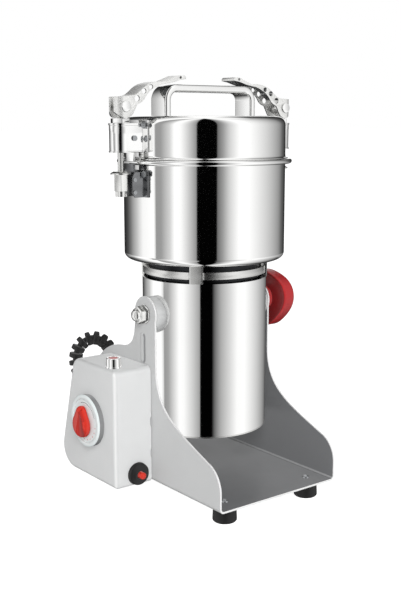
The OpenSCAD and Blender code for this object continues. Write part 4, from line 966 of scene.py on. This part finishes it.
# base: one sheet folded up at both sides, with a pressed rib in each cheek
baseSheet = {
    "thick": 2.0,        # mm
    "fold": 5.0,         # outer radius of the folds
    "cut": 0.5,          # how far the cut edges are rounded
    "bore": 5.05,
    "ribHeight": 1.2,
    "ribHalf": 4.5,
    "ribPlace": 4.0,     # behind the motor's axis
    "ribFoot": 26.0,     # above the floor, on the right cheek
    "ribTop": 24.0,      # below the pivot
    "swell": ((-0.8, 0), (0, 0), (0.3, 0.5), (0.75, 1.1), (1.05, 1.8), (1.2, 2.8)),   # a rib's height and inset
    "swellWall": 1.2,    # how much narrower it is inside
    "ear": 18.0,         # radius round the pivot
    "frontCorner": (53.5, 27.0),   # height and radius
    # a cheek's edge behind the motor's axis and above the table: from the front corner to the ear,
    "throat": ((-103.0, 61.5), (-52.0, 82.0), (-17.0, 92.0), (-17.0, 138.0)),
    # from the ear down, measured from the pivot, then the shoulder, and the rear measured from its end
    "nape": ((18.5, -14.0), (20.0, -32.0)),
    "shoulder": ((28.0, 151.5), (45.0, 150.0), (72.0, 148.0)),
    "rear": ((-8.0, 130.0), (0.0, 100.0)),
}


def cheekOutline(b, low, high, pivot):
    (height, radius), throat = b["frontCorner"], b["throat"]
    foot, top, bend = b["shoulder"]
    points = rounded([(low.y, low.z, 0), (low.y, height, radius), (throat[0][0], throat[0][1] + 0.4, 0)], 14)
    points += bezier(*throat, 24)
    points += arc((0, pivot), b["ear"], 200, -20, 36)
    points += bezier(*[(u, pivot + v) for u, v in b["nape"]], foot, top, 12)[:-1]
    points += bezier(top, bend, *[(high.y + u, v) for u, v in b["rear"]], 14)
    return points + [(high.y, low.z)]


def ribLoops(b, side, wall, bottom, top, levels):
    # a rib's soft swelling, from a stadium outline drawn in level by level
    loops = []
    for height, inset in levels:
        radius = b["ribHalf"] - inset
        outline = arc((b["ribPlace"], top), radius, 0, 180, 16) + arc((b["ribPlace"], bottom), radius, 180, 360, 16)
        loops.append([at(side * (wall + height), u, v) for u, v in outline])
    return loops


def makeBase(b):
    low, high = corners("base_frame")
    pivot = sum(corner.z for corner in corners("pivot_bolt")) / 2
    wide, thick, fold = high.x - b["ribHeight"], b["thick"], b["fold"]
    left, right, foldTop = fold - wide, wide - fold, low.z + fold
    outside = arc((left, foldTop), fold, 180, 270, 10) + arc((right, foldTop), fold, 270, 360, 10)
    inside = arc((right, foldTop), fold - thick, 360, 270, 10) + arc((left, foldTop), fold - thick, 270, 180, 10)
    top, past = high.z + beyond, wide + beyond
    section = [(-wide, top)] + outside + [(wide, top), (wide - thick, top)] + inside + [(thick - wide, top)]
    sheet = skin([[at(x, y, z) for x, z in section] for y in (low.y - beyond, high.y + beyond)])
    profile = cheekOutline(b, low, high, pivot)
    sheet = carved(sheet, skin([[at(x, u, v) for u, v in profile] for x in (-past, past)]), "INTERSECT")
    # the left rib begins above the box
    feet = {-1: corners("box_shell")[1].z + b["ribHalf"] + 0.3, 1: low.z + b["ribFoot"]}
    narrow = [(height, inset + b["swellWall"]) for height, inset in b["swell"]]
    ribs, sunk = [[skin(ribLoops(b, side, wall, foot, pivot - b["ribTop"], levels)) for side, foot in feet.items()]
                  for wall, levels in ((wide, b["swell"]), (wide - thick, narrow))]
    bore = cylinder(b["bore"], -past, past, "base_enamel", 48)
    sheet = carved(carved(sheet, joined(ribs), "UNION"), joined(sunk + [moved(bore, at(0, 0, pivot), "X")]))
    sheet = baked(sheet, "BEVEL", width=b["cut"] * mm, segments=2, limit_method="ANGLE",
                  angle_limit=math.radians(50))
    inner, floorTop = wide - thick, low.z + thick

    def paintedShadeAndHighlight(place, normal):
        # painted shade, grey inside and less of it along the inner folds; a painted highlight where the sheet was cut
        # and on its rounded outer faces
        if abs(normal.y) > 0.5 and not low.y + 1 < place.y < high.y - 1:
            return -1.0
        if abs(place.x) > wide + 0.02 and abs(normal.y) > 0.2:
            return 0.8 if normal.y < 0 else -0.6     # the rib's flanks: a painted shade in front, a painted highlight behind
        # outside, the flat faces keep the lacquer and the rounded ones take a painted highlight
        if abs(place.x) > inner + 0.15 or place.z < floorTop - 0.15:
            flat = abs(normal.x) > 0.7 or abs(normal.z) > 0.7 and place.z < low.z + fold
            return 0.0 if flat else -1.0
        folded = min(abs(normal.x), abs(normal.z)) > 0.4 and place.z < low.z + fold + 0.4
        return 0.55 if folded else 1.0

    settle("base_folded", sheet, "base_frame", painted_light=paintedShadeAndHighlight, level=True)


makeBase(baseSheet)
print("base folded")

# small bodies keep their CAD form and get broken edges
edgesBroken = {
    "saddles": (0.4, "base_enamel"), "pivot_bolt": (0.5, None), "clamp_housings": (0.35, "stainless_buffed"),
    "cam_nuts": (0.5, "stainless_buffed"), "rod_left": (0.2, None), "rod_right": (0.2, None),
    "latch_nut_left": (0.35, None), "latch_nut_right": (0.35, None), "lever_left": (0.1, "levers_satin"),
    "lever_right": (0.1, "levers_satin"), "lever_pin_left": (0.35, "stainless_buffed"),
    "lever_pin_right": (0.35, "stainless_buffed"),
    "hook_brackets": (0.3, None), "feet": (0.5, None), "neck_ring": (0.25, None),
}   # mm, and a finish of their own where they have one
for name, (width, look) in edgesBroken.items():
    # a lever's faces, and its pin's, that look down and not sideways take a painted shade: they are in its holes and
    # its inside, or under its pin's edge
    holes = (lambda place, normal: abs(normal.y) < 0.5 and normal.z < -0.2) if name.startswith("lever_") else None
    dress(name, width, look=look, painted_light=holes)

# a thin sleeve behind the neck's air slots, dark all over: a painted shade for the dark inside the neck
slotShade = {"radius": 58.9, "thick": 0.5, "short": 0.1}   # mm
neckLow, neckHigh = corners("neck_ring")
outer, bottom, top = slotShade["radius"], neckLow.z + slotShade["short"], neckHigh.z - slotShade["short"]
inner = outer - slotShade["thick"]
sleeve = [(inner, bottom), (outer, bottom), (outer, top), (inner, top), (inner, bottom)]
settle("neck_gauze", moved(turned(sleeve, "stainless_brushed", 96), at(0, 0, 0)), "neck_ring",
       slot="stainless_brushed", painted_light=lambda place, normal: True)
print("edges broken on", len(edgesBroken), "nodes")


def scatterTree():
    # sets a piece on each point, its own Z along the point's direction
    tree, given = newTree("set_on_points", Points="Geometry", Piece="Object", Finish="Material")
    along = addNode(tree, "GeometryNodeInputNamedAttribute", {"Name": "along"}, data_type="FLOAT_VECTOR")
    return endTree(tree, pieceAt(tree, given["Points"], along, given["Piece"]), given["Finish"])


setOnPoints = scatterTree()


def scattered(mesh, places, finish):
    # copies of a mesh at (point, direction) places
    piece = linked("piece", mesh)
    points = bpy.data.meshes.new("points")
    points.from_pydata([point for point, along in places], [], [])
    marks = points.attributes.new("along", "FLOAT_VECTOR", "POINT")
    for mark, (point, along) in zip(marks.data, places):
        mark.vector = along
    done = grown(setOnPoints, points, Piece=piece, Finish=finishes[finish])
    bpy.data.objects.remove(piece)
    return done


# pan head screws with a cross recess: in the feet, and round the motor tube's cover
screws = {
    "foot_screws": {"head": 3.4, "tall": 2.2, "shank": 2.0, "washer": 4.5, "upwards": True},
    "cover_screws": {"head": 3.8, "tall": 2.2, "shank": 2.0, "washer": 0, "upwards": False},
}
recess = {"reach": 1.9, "half": 0.36, "deep": 1.1}     # mm, from the screw's axis and into its head


def makeScrews(node, s):
    low, high = corners(node)
    deep, tall, head, shank = high.z - low.z - s["tall"], s["tall"], s["head"], s["shank"]
    foot = [(s["washer"], -deep), (s["washer"], 2 - deep), (shank, 2 - deep)] if s["washer"] else [(shank, -deep)]
    profile = [(0, -deep)] + foot + [(shank, 0), (head, 0), (head, 0.5), (head - 0.3, tall * 0.6),
                                     (head - 1.2, tall * 0.88), (0, tall)]
    shape = turned(profile, "zinc_screws", 32)
    for a, b in ((recess["reach"], recess["half"]), (recess["half"], recess["reach"])):
        shape = carved(shape, skin([[Vector((u, v, height)) * mm for u, v in ((-a, -b), (a, -b), (a, b), (-a, b))]
                                    for height in (tall - recess["deep"], tall + 1)]))
    # one in each corner of the CAD screws' box
    edge = max(s["washer"], head)
    height, way = (high.z - tall, (0, 0, 1)) if s["upwards"] else (low.z + tall, (0, 0, -1))
    places = [(at(x, y, height), way) for x in (low.x + edge, high.x - edge) for y in (low.y + edge, high.y - edge)]
    settle(node + "_set", scattered(shape, places, "zinc_screws"), node, 30)


for name, values in screws.items():
    makeScrews(name, values)

# the dial's printed scale: dots, and an arc of smaller dots over the knob
dialScale = {
    "dot": 0.55,         # mm, radius
    "dots": (19.4, -95, -8, 17),      # radius on the dial, then from, to and step in degrees
    "fine": 0.28,        # radius of the arc's dots
    "arc": (19.0, 20, 112, 2),
    "print": 0.06,       # how far the ink stands up
}


def makeScale(s):
    middle, ink = centre("dial_plate"), s["print"]
    x = corners("dial_plate")[0].x + dialFace["step"]
    for name, size, row, colour in (("dots", s["dot"], s["dots"], "plastic_red"),
                                    ("arc", s["fine"], s["arc"], "plastic_black")):
        reach, first, last, step = row
        disc = cylinder(size, 0, ink, colour, 12)
        turns = [math.radians(a) for a in range(first, last + 1, step)]
        places = [(at(x, middle.y - reach * math.cos(turn), middle.z + reach * math.sin(turn)), (-1, 0, 0))
                  for turn in turns]
        settle("dial_" + name, scattered(disc, places, colour), "dial_plate", 30, slot=colour)


makeScale(dialScale)
print("screws and scale set")
